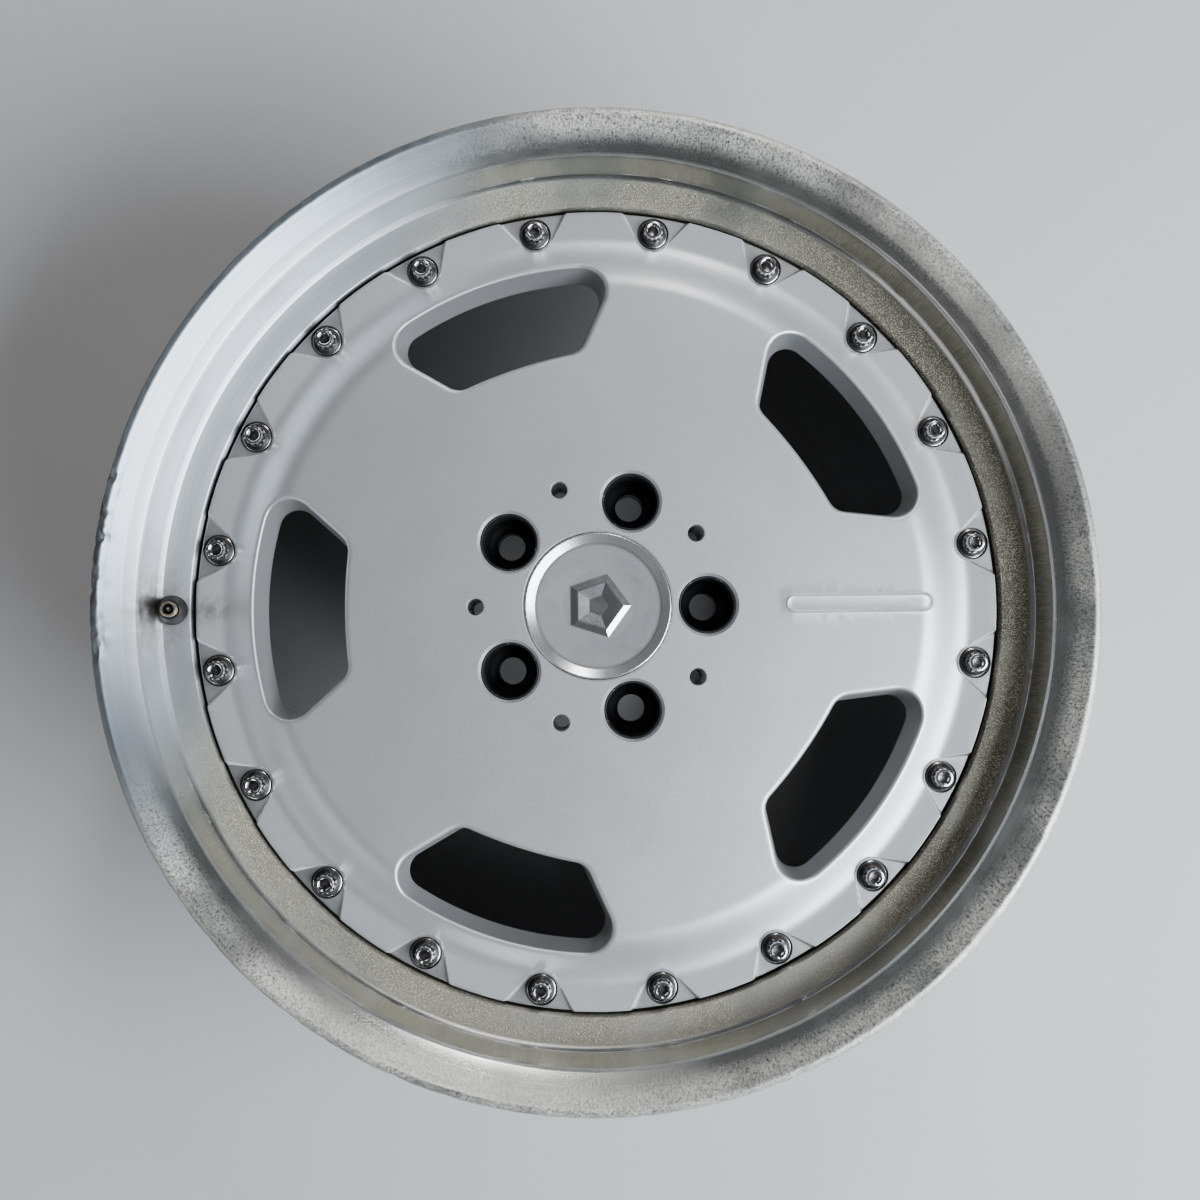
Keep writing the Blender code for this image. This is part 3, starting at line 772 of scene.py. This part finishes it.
def make_cap(finish):
    corners = [
        (0.0, -2.4), (18.0, -2.25, 4.0), (32.2, -1.6, 0.5), (36.9, 0.45, 0.5), (37.5, 0.1, 0.3),
        (37.5, -2.4, 0.3), (36.6, -3.0, 0.3), (36.6, -11.3, 0.3), (37.0, -12.2, 0.4),
        (37.0, -13.0, 0.4), (36.4, -16.0, 0.3), (34.9, -16.0, 0.3), (34.9, -5.6, 0.8),
        (33.6, -4.7, 0.8), (0.0, -4.8),
    ]
    profile = divided(softened(corners, closed=False, steps=5), 1.2, closed=False)
    cap = turned("centre_cap", profile, 288, finish, "cap_silver", body="centre_cap")
    shape = bmesh.new()
    slot = np.array([(33.0, -4.0), (39.0, -4.0), (39.0, 4.0), (33.0, 4.0)])
    for k in range(6):
        corners = turn(slot, math.tau * (k + 0.5) / 6)
        add_bar(shape, [add_corners(shape, corners, [height] * 4) for height in (-6.5, -17.0)])
    cut_away(cap, add_object("cap_slot_cutter", shape))
    shade(cap)


def make_emblem(finish):
    """A plain five-sided boss in place of any mark: a ridge with facets inside and outside."""
    profile = [(0.0, -1.5), (5.5, -1.5), (12.2, -0.47), (12.7, -0.42), (13.3, -0.46), (16.8, -1.6),
               (16.9, -1.7), (16.8, -1.9), (0.0, -1.9)]
    forms = [circle] + [five_sides] * 7 + [circle]
    turned("cap_emblem", profile, 240, finish, "bolt_chrome", forms=forms, body="centre_cap", crease=3)


def make_cap_ring(finish):
    """The spring wire inside the cap's tabs, open by a few degrees."""
    shape = bmesh.new()
    add_wire(shape, 33.7, 1.3, 12, 180, (math.radians(8), math.radians(352)), (-12.5, -12.5))
    piece_from("cap_spring_ring", shape, finish, "spring_steel", body="centre_cap")


# Valve: heights count from the band's surface along the valve's tilted axis

def on_valve_axis(item):
    item.location = (-VALVE_CIRCLE * MM, 0.0, (VALVE_FOOT + HUB_FACE) * MM)
    item.rotation_euler.y = BAND_TILT
    return item


def valve_piece(node, profile, segments, finish, slot, body="wheel"):
    on_valve_axis(turned(node, profile, segments, finish, slot, body=body))


def make_valve(rubber, metal, steel):
    boot = [
        (4.25, 12.2, 0.2), (4.7, 12.6, 0.3), (5.1, 12.2, 0.3), (6.9, 4.0, 1.5), (7.7, 1.9, 0.5),
        (6.9, 1.1, 0.3), (5.75, 0.45, 0.3), (5.7, -7.5, 0.3), (6.9, -7.6, 0.4), (7.0, -10.0, 0.8),
        (5.8, -12.4, 0.6), (4.25, -12.4),
    ]
    profile = divided(softened(boot, steps=5), 1.0)
    valve_piece("valve_body", profile, 96, rubber, "valve_rubber")
    tip = 21.0
    threads = thread(3.9, tip - 0.9, 13.4, 0.8, 0.3)
    stem = [(2.6, tip - 0.3), (2.85, tip), (3.45, tip), (3.75, tip - 0.3), *threads, (3.9, 13.2),
            (3.9, -13.6), (3.6, -14.0), (1.9, -14.0), (1.9, 0.0), (2.6, 0.0)]
    valve_piece("valve_stem", stem, 96, metal, "valve_brass")
    core = [(1.7, 16.7), (1.9, 17.0), (2.15, 17.0), (2.3, 16.8), *thread(2.3, 16.2, 11.0, 0.7, 0.2),
            (2.3, 10.6), (2.0, 10.2), (2.0, 9.0), (2.3, 8.6), (2.3, 4.2), (2.1, 4.0), (0.8, 4.0),
            (0.8, 7.4), (1.7, 7.4)]
    valve_piece("valve_core", core, 64, metal, "valve_brass")
    pin = [(0.0, 18.6), (0.35, 18.5), (0.5, 18.2), (0.5, 16.6), (1.2, 16.5), (1.35, 16.3),
           (1.35, 15.7), (1.2, 15.5), (0.5, 15.4), (0.5, 2.0), (1.1, 1.95), (1.2, 1.8),
           (1.2, 1.5), (1.1, 1.4), (0.0, 1.4)]
    valve_piece("valve_pin", pin, 32, steel, "spring_steel", body="valve_pin")
    seal = softened([(0.8, 3.6, 0.2), (2.2, 3.6, 0.4), (2.2, 2.3, 0.4), (0.8, 2.3, 0.2)], steps=4)
    valve_piece("valve_seal", seal, 48, rubber, "valve_rubber", body="valve_pin")
    make_valve_spring(steel)


def make_valve_spring(finish):
    """A wire helix between the core and the pin's collar, made at one length; the real one shortens as
    the pin is pressed.
    """
    low, high, turns, travel = 7.9, 15.1, 6, 1.6
    shape = bmesh.new()
    add_wire(shape, 1.1, 0.4, 8, turns * 24, (0.0, math.tau * turns), (low, high))
    spring = on_valve_axis(piece_from("valve_spring", shape, finish, "spring_steel"))
    bpy.context.view_layer.update()
    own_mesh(spring)


# Finishes

class Finish:
    """One node material. Sizes in it are metres, in each piece's own space."""

    def __init__(self, name, colour, roughness, metallic):
        self.material = bpy.data.materials.new(name)
        self.material.use_nodes = True
        self.nodes = self.material.node_tree.nodes
        self.links = self.material.node_tree.links
        self.shader = self.nodes["Principled BSDF"]
        self.set("Base Color", (*colour, 1.0))
        self.set("Roughness", roughness)
        self.set("Metallic", metallic)
        self.place = self.nodes.new("ShaderNodeTexCoord").outputs["Object"]
        parts = self.node("ShaderNodeSeparateXYZ", {"Vector": self.place})
        self.x, self.y, self.z = parts.outputs
        self.radius = self.length(self.x, self.y)
        self.normal = None

    def set(self, socket, value):
        if isinstance(value, bpy.types.NodeSocket):
            self.links.new(value, self.shader.inputs[socket])
        else:
            self.shader.inputs[socket].default_value = value

    def node(self, kind, inputs=None, **settings):
        node = self.nodes.new(kind)
        for key, value in settings.items():
            setattr(node, key, value)
        for key, value in (inputs or {}).items():
            if isinstance(value, bpy.types.NodeSocket):
                self.links.new(value, node.inputs[key])
            else:
                node.inputs[key].default_value = value
        return node

    def calc(self, operation, first, second=0.0, third=0.0):
        inputs = {0: first, 1: second, 2: third}
        return self.node("ShaderNodeMath", inputs, operation=operation).outputs[0]

    def times(self, first, *factors):
        for factor in factors:
            first = self.calc("MULTIPLY", first, factor)
        return first

    def rest(self, share):
        """What is left of 1 beside a share."""
        return self.calc("SUBTRACT", 1.0, share)

    def length(self, x, y):
        flat = self.node("ShaderNodeCombineXYZ", {"X": x, "Y": y}).outputs[0]
        return self.node("ShaderNodeVectorMath", {0: flat}, operation="LENGTH").outputs["Value"]

    def ease(self, value, low, high, to_low=0.0, to_high=1.0):
        """Map a value from one range to another and hold it there."""
        inputs = {"Value": value, "From Min": low, "From Max": high, "To Min": to_low, "To Max": to_high}
        return self.node("ShaderNodeMapRange", inputs, interpolation_type="SMOOTHSTEP").outputs[0]

    def noise(self, scale, detail=3.0, roughness=0.55, where=None):
        inputs = {"Vector": where or self.place, "Scale": scale, "Detail": detail,
                  "Roughness": roughness}
        return self.node("ShaderNodeTexNoise", inputs).outputs["Fac"]

    def cells(self, scale, output="Distance"):
        inputs = {"Vector": self.place, "Scale": scale}
        return self.node("ShaderNodeTexVoronoi", inputs).outputs[output]

    def flake(self):
        """Metal flake in a paint: tiny cells, each of its own grey."""
        return self.node("ShaderNodeRGBToBW", {"Color": self.cells(2600.0, "Color")}).outputs[0]

    def turning(self, scale, stretch=0.004):
        """Noise drawn out round the wheel's axis, as a lathe tool leaves it."""
        angle = self.calc("ARCTAN2", self.y, self.x)
        along = self.times(angle, stretch)
        where = self.node("ShaderNodeCombineXYZ", {"X": self.radius, "Y": along, "Z": self.z}).outputs[0]
        return self.noise(scale, 2.0, 0.5, where)

    def scratches(self, scale, stretch, threshold, seed):
        """Thin lines running one way, masked so that only the strongest show."""
        turned_to = self.node("ShaderNodeMapping", {"Vector": self.place, "Rotation": (0.0, 0.0, seed),
                                                    "Scale": (1.0, stretch, 1.0)}).outputs[0]
        return self.ease(self.noise(scale, 2.0, 0.5, turned_to), threshold, threshold + 0.06)

    def toward(self, azimuth):
        """How far a point lies in one direction from the axis, in metres."""
        angle = math.radians(azimuth)
        return self.calc("MULTIPLY_ADD", self.x, math.cos(angle), self.times(self.y, math.sin(angle)))

    def facing_axis(self):
        """1 where the surface looks towards the wheel's axis, 0 where it looks away."""
        looks = self.node("ShaderNodeTexCoord").outputs["Normal"]
        product = self.node("ShaderNodeVectorMath", {0: looks, 1: self.place}, operation="MULTIPLY")
        parts = self.node("ShaderNodeSeparateXYZ", {"Vector": product.outputs[0]}).outputs
        outward = self.calc("DIVIDE", self.calc("ADD", parts[0], parts[1]), self.radius)
        return self.ease(outward, 0.1, -0.1)

    def across(self, scale):
        """Noise drawn out across the lip, from its crest to its edge."""
        angle = self.calc("ARCTAN2", self.y, self.x)
        along = self.times(self.radius, 0.7)
        where = self.node("ShaderNodeCombineXYZ", {"X": angle, "Y": along}).outputs[0]
        return self.noise(scale, 3.0, 0.6, where)

    def stain(self, x, y, reach, squeeze):
        """A ragged patch round a spot, for stains and for the valve's painted reflection: it fades out
        at its reach, in millimetres along X.
        """
        dx = self.calc("SUBTRACT", self.x, x * MM)
        dy = self.times(self.calc("SUBTRACT", self.y, y * MM), squeeze)
        inside = self.ease(self.length(dx, dy), 0.0, reach * MM, 1.0, 0.0)
        return self.times(inside, self.ease(self.noise(170.0, 5.0, 0.65), 0.28, 0.62))

    def tint(self, share, colour, amount=1.0):
        """Lay an amount of a colour over what the base colour is so far."""
        if amount != 1.0:
            share = self.times(share, amount)
        node = self.nodes.new("ShaderNodeMix")
        node.data_type = "RGBA"
        base = self.shader.inputs["Base Color"]
        if base.is_linked:
            self.links.new(base.links[0].from_socket, node.inputs[6])
        else:
            node.inputs[6].default_value = base.default_value
        node.inputs[7].default_value = (*colour, 1.0)
        self.links.new(share, node.inputs[0])
        self.links.new(node.outputs[2], base)

    def vary(self, socket, share, amount):
        """Add a share of an amount to what a shader socket holds so far."""
        target = self.shader.inputs[socket]
        so_far = target.links[0].from_socket if target.is_linked else target.default_value
        self.links.new(self.calc("ADD", so_far, self.times(share, amount)), target)

    def roughen(self, share, amount):
        self.vary("Roughness", share, amount)

    def brush(self, amount):
        """Stretch highlights the way a finish that was turned about the axis does."""
        self.set("Anisotropic", amount)
        self.set("Anisotropic Rotation", 0.25)
        self.set("Tangent", self.node("ShaderNodeTangent", direction_type="RADIAL", axis="Z").outputs[0])

    def bump(self, height, depth):
        """Add relief; the depth is in millimetres for a height of 1."""
        node = self.node("ShaderNodeBump", {"Height": height, "Strength": 1.0, "Distance": depth * MM})
        if self.normal is not None:
            self.links.new(self.normal, node.inputs["Normal"])
        self.normal = node.outputs[0]
        self.set("Normal", self.normal)


def silver_paint():
    """Satin metallic silver: fine flake, a little orange peel, painted shade in the pockets, at the edge
    and on the back, old specks.
    """
    f = Finish("silver_paint", (0.66, 0.663, 0.67), 0.36, 0.74)
    flake = f.flake()
    f.roughen(f.noise(14.0, 4.0), 0.10)
    f.roughen(flake, 0.06)
    f.tint(f.ease(f.noise(9.0, 3.0), 0.42, 0.72, 0.0, 0.22), (0.50, 0.49, 0.485))
    f.tint(f.ease(flake, 0.2, 0.9, 0.0, 0.16), (0.80, 0.80, 0.81))
    pockets = f.ease(f.radius, 0.186, 0.187)
    deep = f.times(f.ease(f.z, -0.01015, -0.00985, 1.0, 0.0), pockets)
    # The pocket floors are darkened: painted shade, patchy like dust.
    dusty = f.times(deep, f.ease(f.noise(120.0, 4.0), 0.3, 0.7, 0.75, 1.0))
    f.tint(dusty, (0.22, 0.214, 0.205), 0.72)
    # Below the pocket floors, the bolt counterbores are painted near black: painted shadow round each
    # bolt head.
    counterbore_shadow = f.times(f.ease(f.z, -0.0105, -0.0112), pockets)
    f.tint(counterbore_shadow, (0.05, 0.046, 0.042), 0.8)
    # The edge darkens raggedly over its last 2 mm; its last half millimetre is a near-black line, the
    # painted shadow of the gap to the lip.
    edge = f.ease(f.radius, 0.2048, 0.2066)
    f.tint(f.times(edge, f.ease(f.noise(90.0), 0.35, 0.65, 0.1, 0.5)), (0.16, 0.15, 0.135))
    f.tint(f.ease(f.radius, 0.2063, 0.2067), (0.03, 0.028, 0.025))
    f.tint(f.stain(-199.0, 0.0, 17.0, 1.6), (0.17, 0.125, 0.085), 0.7)
    speck = f.times(f.ease(f.cells(62.0), 0.012, 0.03, 1.0, 0.0), f.ease(f.noise(21.0), 0.52, 0.6))
    f.tint(speck, (0.09, 0.07, 0.06))
    rub = f.scratches(700.0, 0.05, 0.71, 0.6)
    f.tint(rub, (0.42, 0.41, 0.40), 0.25)
    # The disc's back and the bottom of the window walls are painted dark: painted shade inside the
    # wheel.
    inside = f.ease(f.z, -0.0222, -0.0275)
    f.tint(inside, (0.07, 0.065, 0.06), 0.85)
    f.roughen(inside, 0.2)
    f.set("Coat Weight", 0.35)
    f.set("Coat Roughness", 0.16)
    f.bump(f.noise(420.0, 2.0), 0.02)
    f.bump(flake, 0.006)
    return f.material


def turned_aluminium():
    """Bare turned lip: tool lines, a pitted yellowed band with painted glints, a scuffed edge and a
    stained valve, plus painted shade and reflections: on the band and flange, at the gap, behind the
    disc and beside the valve.
    """
    f = Finish("turned_aluminium", (0.64, 0.672, 0.70), 0.34, 1.0)
    lines = f.turning(1500.0)
    f.roughen(lines, 0.08)
    wall = f.times(f.ease(f.z, -0.0068, -0.0050), f.ease(f.z, 0.0150, 0.0125))
    band = f.times(f.ease(f.radius, 0.2250, 0.2225), f.ease(f.z, -0.02, -0.016))
    aged = f.ease(f.toward(155.0), 0.190, 0.125)
    flange = f.ease(f.z, 0.0145, 0.0190)
    aged_flange = f.times(flange, aged)
    f.roughen(aged, -0.13)
    f.tint(aged, (0.655, 0.645, 0.60), 0.7)
    f.roughen(f.times(wall, aged), -0.10)
    f.roughen(f.times(wall, f.rest(aged)), 0.10)
    patchy = f.ease(f.noise(24.0, 4.0, 0.6), 0.32, 0.62)
    film = f.times(band, aged, f.calc("MULTIPLY_ADD", patchy, 0.45, 0.55))
    f.tint(film, (0.33, 0.305, 0.23), 0.85)
    shaded = f.times(film, f.ease(f.toward(5.0), 0.100, 0.180))
    f.tint(shaded, (0.13, 0.118, 0.085), 0.75)
    f.roughen(film, 0.30)
    fine = f.noise(1650.0, 3.0, 0.6)
    # Bright specks in the band's film are painted glints: painted highlights off its grain, with lower
    # metallic.
    painted_glints = f.times(f.ease(fine, 0.52, 0.60), film)
    f.tint(painted_glints, (0.86, 0.82, 0.68), 0.7)
    f.vary("Metallic", painted_glints, -0.35)
    haze = f.times(f.ease(f.noise(17.0, 4.0), 0.42, 0.68), aged)
    f.roughen(haze, 0.10)
    mottle = f.ease(f.noise(820.0, 5.0, 0.68), 0.36, 0.58)
    drawn = f.ease(f.across(520.0), 0.34, 0.58)
    grit = f.times(f.calc("ADD", f.times(mottle, 0.6), f.times(drawn, 0.4)), aged_flange)
    uneven = f.ease(f.noise(20.0, 3.0), 0.30, 0.58, 0.45, 1.0)
    worn = f.times(grit, f.ease(f.radius, 0.2325, 0.2405, 0.15, 1.0), uneven)
    f.roughen(worn, 0.22)
    f.tint(worn, (0.95, 0.92, 0.80), 0.85)
    f.vary("Metallic", worn, -0.75)
    # On the side away from the lit left, the flange between the scuffs is painted dark: painted shade.
    dull = f.times(f.rest(worn), aged_flange)
    f.tint(dull, (0.17, 0.167, 0.15), 0.62)
    # On the lit left side, the flange is tinted a darker cool blue: a painted reflection.
    painted_cool_reflection = f.times(flange, f.rest(aged))
    f.tint(painted_cool_reflection, (0.37, 0.415, 0.455), 0.8)
    rim = f.times(f.ease(f.radius, 0.2445, 0.2475), f.ease(f.noise(210.0, 5.0, 0.7), 0.35, 0.6))
    f.tint(rim, (0.38, 0.375, 0.36), 0.35)
    f.roughen(rim, 0.15)
    bitten = f.times(f.stain(-246.0, 20.0, 62.0, 0.8), f.ease(f.radius, 0.2440, 0.2465))
    f.tint(bitten, (0.15, 0.14, 0.128), 0.8)
    # Everything inside 209 mm, the lip's inner edge at the gap and the flange under the disc, is painted
    # near black: painted shadow of the gap.
    f.tint(f.ease(f.radius, 0.2090, 0.2083), (0.03, 0.027, 0.024), 0.88)
    # The small dark smudge just outward of the valve is the valve's painted reflection in the wall; the
    # two brown patches after it are stains.
    f.tint(f.stain(-224.0, 0.0, 9.0, 0.7), (0.06, 0.05, 0.04), 0.55)
    f.tint(f.stain(-217.0, 0.0, 24.0, 2.6), (0.10, 0.075, 0.05), 0.7)
    f.tint(f.stain(-223.0, 0.0, 20.0, 0.45), (0.22, 0.14, 0.08), 0.5)
    # Below the band, behind the disc, the lip is painted darker: painted shade.
    behind = f.ease(f.z, -0.0165, -0.0215)
    f.tint(behind, (0.20, 0.19, 0.175), 0.6)
    f.brush(0.72)
    f.bump(lines, 0.010)
    f.bump(f.times(fine, film), 0.26)
    f.bump(f.times(mottle, aged_flange), 0.025)
    return f.material


def barrel_aluminium():
    """The barrel's dull spun metal, darkened inside by brake dust and painted shade."""
    f = Finish("barrel_aluminium", (0.34, 0.34, 0.345), 0.40, 1.0)
    lines = f.turning(700.0)
    f.roughen(lines, 0.14)
    f.tint(f.ease(f.noise(30.0, 5.0), 0.35, 0.7, 0.0, 0.45), (0.20, 0.195, 0.19))
    # The barrel's inward-facing surface is painted near black: brake dust, and painted shade that keeps
    # the inside dark.
    inside = f.times(f.facing_axis(), f.ease(f.z, -0.196, -0.185))
    dust = f.times(inside, f.ease(f.noise(55.0, 5.0, 0.65), 0.2, 0.62, 0.55, 1.0))
    f.tint(dust, (0.055, 0.048, 0.043), 0.88)
    f.roughen(dust, 0.3)
    f.brush(0.4)
    f.bump(lines, 0.02)
    f.bump(f.times(f.noise(500.0, 4.0), dust), 0.05)
    return f.material


def chrome():
    """Bright plated bolts, with painted shade and some dust round the head, painted shade in the dished
    crown, and pitted with age.
    """
    f = Finish("chrome", (0.68, 0.675, 0.68), 0.10, 1.0)
    f.roughen(f.noise(160.0, 4.0), 0.16)
    trough = f.times(f.ease(f.radius, 0.0048, 0.0051), f.ease(f.radius, 0.0072, 0.0069))
    # Between the wrench flats and the flange rim the head is painted near black: painted shade in the
    # trough, with some dust, which also roughens it.
    trough_shade_and_dust = f.times(trough, f.ease(f.noise(330.0), 0.25, 0.6, 0.88, 1.0))
    f.tint(trough_shade_and_dust, (0.025, 0.022, 0.020), 0.97)
    # The dished crown is darkened in patches: painted shade in the recess.
    dish = f.times(f.ease(f.radius, 0.0031, 0.0027), f.ease(f.z, -0.0030, -0.0038))
    f.tint(f.times(dish, f.ease(f.noise(420.0), 0.35, 0.6, 0.35, 0.85)), (0.05, 0.043, 0.038))
    f.roughen(trough_shade_and_dust, 0.3)
    pit = f.times(f.ease(f.cells(850.0), 0.24, 0.12), f.ease(f.noise(260.0), 0.5, 0.62))
    f.tint(pit, (0.22, 0.17, 0.12), 0.7)
    f.bump(f.noise(520.0, 3.0), 0.012)
    return f.material


def zinc():
    f = Finish("zinc", (0.58, 0.58, 0.56), 0.34, 1.0)
    f.tint(f.ease(f.noise(240.0, 4.0), 0.4, 0.68, 0.0, 0.6), (0.40, 0.36, 0.28))
    f.roughen(f.noise(420.0, 3.0), 0.2)
    f.bump(f.noise(900.0, 3.0), 0.02)
    return f.material


def black_seat():
    """Near-black sleeves, worn a little bright where a socket has rubbed the mouth."""
    f = Finish("black_seat", (0.018, 0.0185, 0.02), 0.30, 0.35)
    f.roughen(f.noise(180.0, 4.0), 0.22)
    dusty = f.ease(f.noise(95.0, 5.0), 0.5, 0.75, 0.0, 0.5)
    f.tint(dusty, (0.060, 0.055, 0.052))
    rubbed = f.times(f.ease(f.z, -0.006, -0.0015), f.scratches(900.0, 0.2, 0.62, 0.4))
    f.tint(rubbed, (0.30, 0.30, 0.30), 0.5)
    f.bump(f.turning(1300.0), 0.01)
    return f.material


def cap_silver():
    """The cap's satin face inside a bright bevelled rim, with painted shade in the crease between them.
    """
    f = Finish("cap_silver", (0.62, 0.62, 0.63), 0.33, 0.85)
    rim = f.times(f.ease(f.radius, 0.0318, 0.0326), f.ease(f.z, -0.0035, -0.0025))
    f.tint(rim, (0.80, 0.80, 0.80), 0.75)
    f.roughen(rim, -0.14)
    f.roughen(f.times(f.flake(), f.rest(rim)), 0.06)
    f.roughen(f.noise(70.0, 4.0), 0.08)
    # A darker ring along the crease where the face meets the bevelled rim: painted shade.
    crease_shade = f.times(f.ease(f.radius, 0.0305, 0.0320), f.ease(f.radius, 0.0330, 0.0322))
    f.tint(crease_shade, (0.17, 0.155, 0.14), 0.5)
    f.tint(f.ease(f.noise(110.0, 5.0), 0.52, 0.72, 0.0, 0.3), (0.42, 0.40, 0.38))
    f.bump(f.noise(500.0, 2.0), 0.012)
    return f.material


def emblem_metal():
    f = Finish("emblem_metal", (0.74, 0.74, 0.75), 0.20, 1.0)
    f.roughen(f.noise(130.0, 4.0), 0.12)
    f.tint(f.ease(f.noise(90.0, 5.0), 0.55, 0.75, 0.0, 0.3), (0.40, 0.37, 0.34))
    f.bump(f.noise(900.0, 3.0), 0.006)
    return f.material


def spring_steel():
    f = Finish("spring_steel", (0.46, 0.46, 0.47), 0.26, 1.0)
    f.roughen(f.noise(600.0, 3.0), 0.2)
    f.tint(f.ease(f.noise(300.0, 4.0), 0.5, 0.75, 0.0, 0.5), (0.24, 0.17, 0.12))
    f.bump(f.noise(1500.0, 2.0), 0.01)
    return f.material


def valve_rubber():
    """Weathered black rubber, with road dust in its pores."""
    f = Finish("valve_rubber", (0.014, 0.014, 0.015), 0.52, 0.0)
    f.roughen(f.noise(300.0, 4.0), 0.2)
    dust = f.ease(f.noise(210.0, 5.0, 0.65), 0.48, 0.72, 0.0, 0.6)
    f.tint(dust, (0.075, 0.062, 0.050))
    f.bump(f.noise(1100.0, 4.0), 0.05)
    return f.material


def valve_brass():
    """Nickel over brass: the plating is worn to the yellow metal on the thread."""
    f = Finish("valve_brass", (0.46, 0.43, 0.37), 0.27, 1.0)
    f.roughen(f.noise(420.0, 4.0), 0.22)
    f.tint(f.ease(f.noise(380.0, 4.0), 0.42, 0.62, 0.0, 0.75), (0.46, 0.34, 0.17))
    f.tint(f.ease(f.noise(700.0, 4.0), 0.55, 0.72, 0.0, 0.8), (0.12, 0.095, 0.07))
    # Near the valve's axis the stem's bore and the whole core are painted near black: painted shade down
    # the bore.
    f.tint(f.ease(f.radius, 0.00275, 0.0025, 0.0, 0.9), (0.02, 0.018, 0.016))
    f.bump(f.noise(900.0, 3.0), 0.02)
    return f.material


def silicone():
    f = Finish("silicone", (0.11, 0.11, 0.115), 0.42, 0.0)
    f.tint(f.ease(f.noise(60.0, 4.0), 0.45, 0.7, 0.0, 0.6), (0.19, 0.185, 0.175))
    f.roughen(f.noise(160.0, 3.0), 0.2)
    f.bump(f.noise(260.0, 3.0), 0.25)
    return f.material


# Stage: pale floor, soft lamps and the camera

def make_floor():
    shape = bmesh.new()
    corners = ((-1, -1), (1, -1), (1, 1), (-1, 1))
    shape.faces.new([shape.verts.new((FLOOR_REACH * x, FLOOR_REACH * y, 0.0)) for x, y in corners])
    mesh = bpy.data.meshes.new("studio_floor")
    shape.to_mesh(mesh)
    shape.free()
    paper = bpy.data.materials.new("studio_paper")
    paper.use_nodes = True
    shader = paper.node_tree.nodes["Principled BSDF"]
    shader.inputs["Base Color"].default_value = (0.66, 0.655, 0.65, 1.0)
    shader.inputs["Roughness"].default_value = 0.8
    shader.inputs["Specular IOR Level"].default_value = 0.2
    mesh.materials.append(paper)
    floor = bpy.data.objects.new("studio_floor", mesh)
    bpy.context.collection.objects.link(floor)


def add_lamp(name, azimuth, elevation, distance, size, power, colour=(1.0, 1.0, 1.0)):
    """A soft rectangular lamp that looks at the middle of the wheel's face."""
    lamp = bpy.data.lights.new(name, "AREA")
    lamp.shape = "RECTANGLE"
    lamp.size, lamp.size_y = size
    lamp.energy = power
    lamp.color = colour
    item = bpy.data.objects.new(name, lamp)
    bpy.context.collection.objects.link(item)
    level, rise = polar(1.0, math.radians(elevation))
    out = Vector((*polar(level, math.radians(azimuth)), rise))
    target = Vector((0.0, 0.0, HUB_FACE * MM))
    item.location = target + out * distance
    item.rotation_euler = (-out).to_track_quat("-Z", "Y").to_euler()


def make_light():
    add_lamp("key", -26.0, 41.0, 1.7, (1.4, 1.0), 64.0, (0.86, 0.93, 1.0))
    add_lamp("streak", 75.0, 42.0, 1.9, (0.22, 0.8), 10.0)
    add_lamp("fill", 215.0, 28.0, 2.4, (1.2, 0.8), 4.0)
    world = bpy.data.worlds.new("studio")
    world.use_nodes = True
    background = world.node_tree.nodes["Background"]
    background.inputs["Color"].default_value = (0.86, 0.88, 0.92, 1.0)
    background.inputs["Strength"].default_value = 0.085
    bpy.context.scene.world = world


def make_camera():
    """Looks down on the wheel's face, a little off its axis."""
    lens = bpy.data.cameras.new("camera")
    lens.lens = 39.0
    lens.sensor_width = 36.0
    camera = bpy.data.objects.new("camera", lens)
    bpy.context.collection.objects.link(camera)
    camera.location = (-0.00842, -0.02779, 0.86507)
    camera.rotation_mode = "YXZ"
    camera.rotation_euler = tuple(math.radians(a) for a in (2.66, -0.79, -0.57))
    bpy.context.scene.camera = camera


def main():
    make_camera()
    make_floor()
    make_light()
    metal, steel, rubber = chrome(), spring_steel(), valve_rubber()
    make_disc(silver_paint())
    make_lip(turned_aluminium())
    make_barrel(barrel_aluminium())
    make_sealant(silicone())
    plated = zinc()
    for k in range(BOLT_COUNT):
        make_bolt(k, metal)
        make_nut(k, plated)
    seat = black_seat()
    for k in range(LUG_COUNT):
        make_lug_seat(k, seat)
    make_cap(cap_silver())
    make_emblem(emblem_metal())
    make_cap_ring(steel)
    make_valve(rubber, valve_brass(), steel)


main()
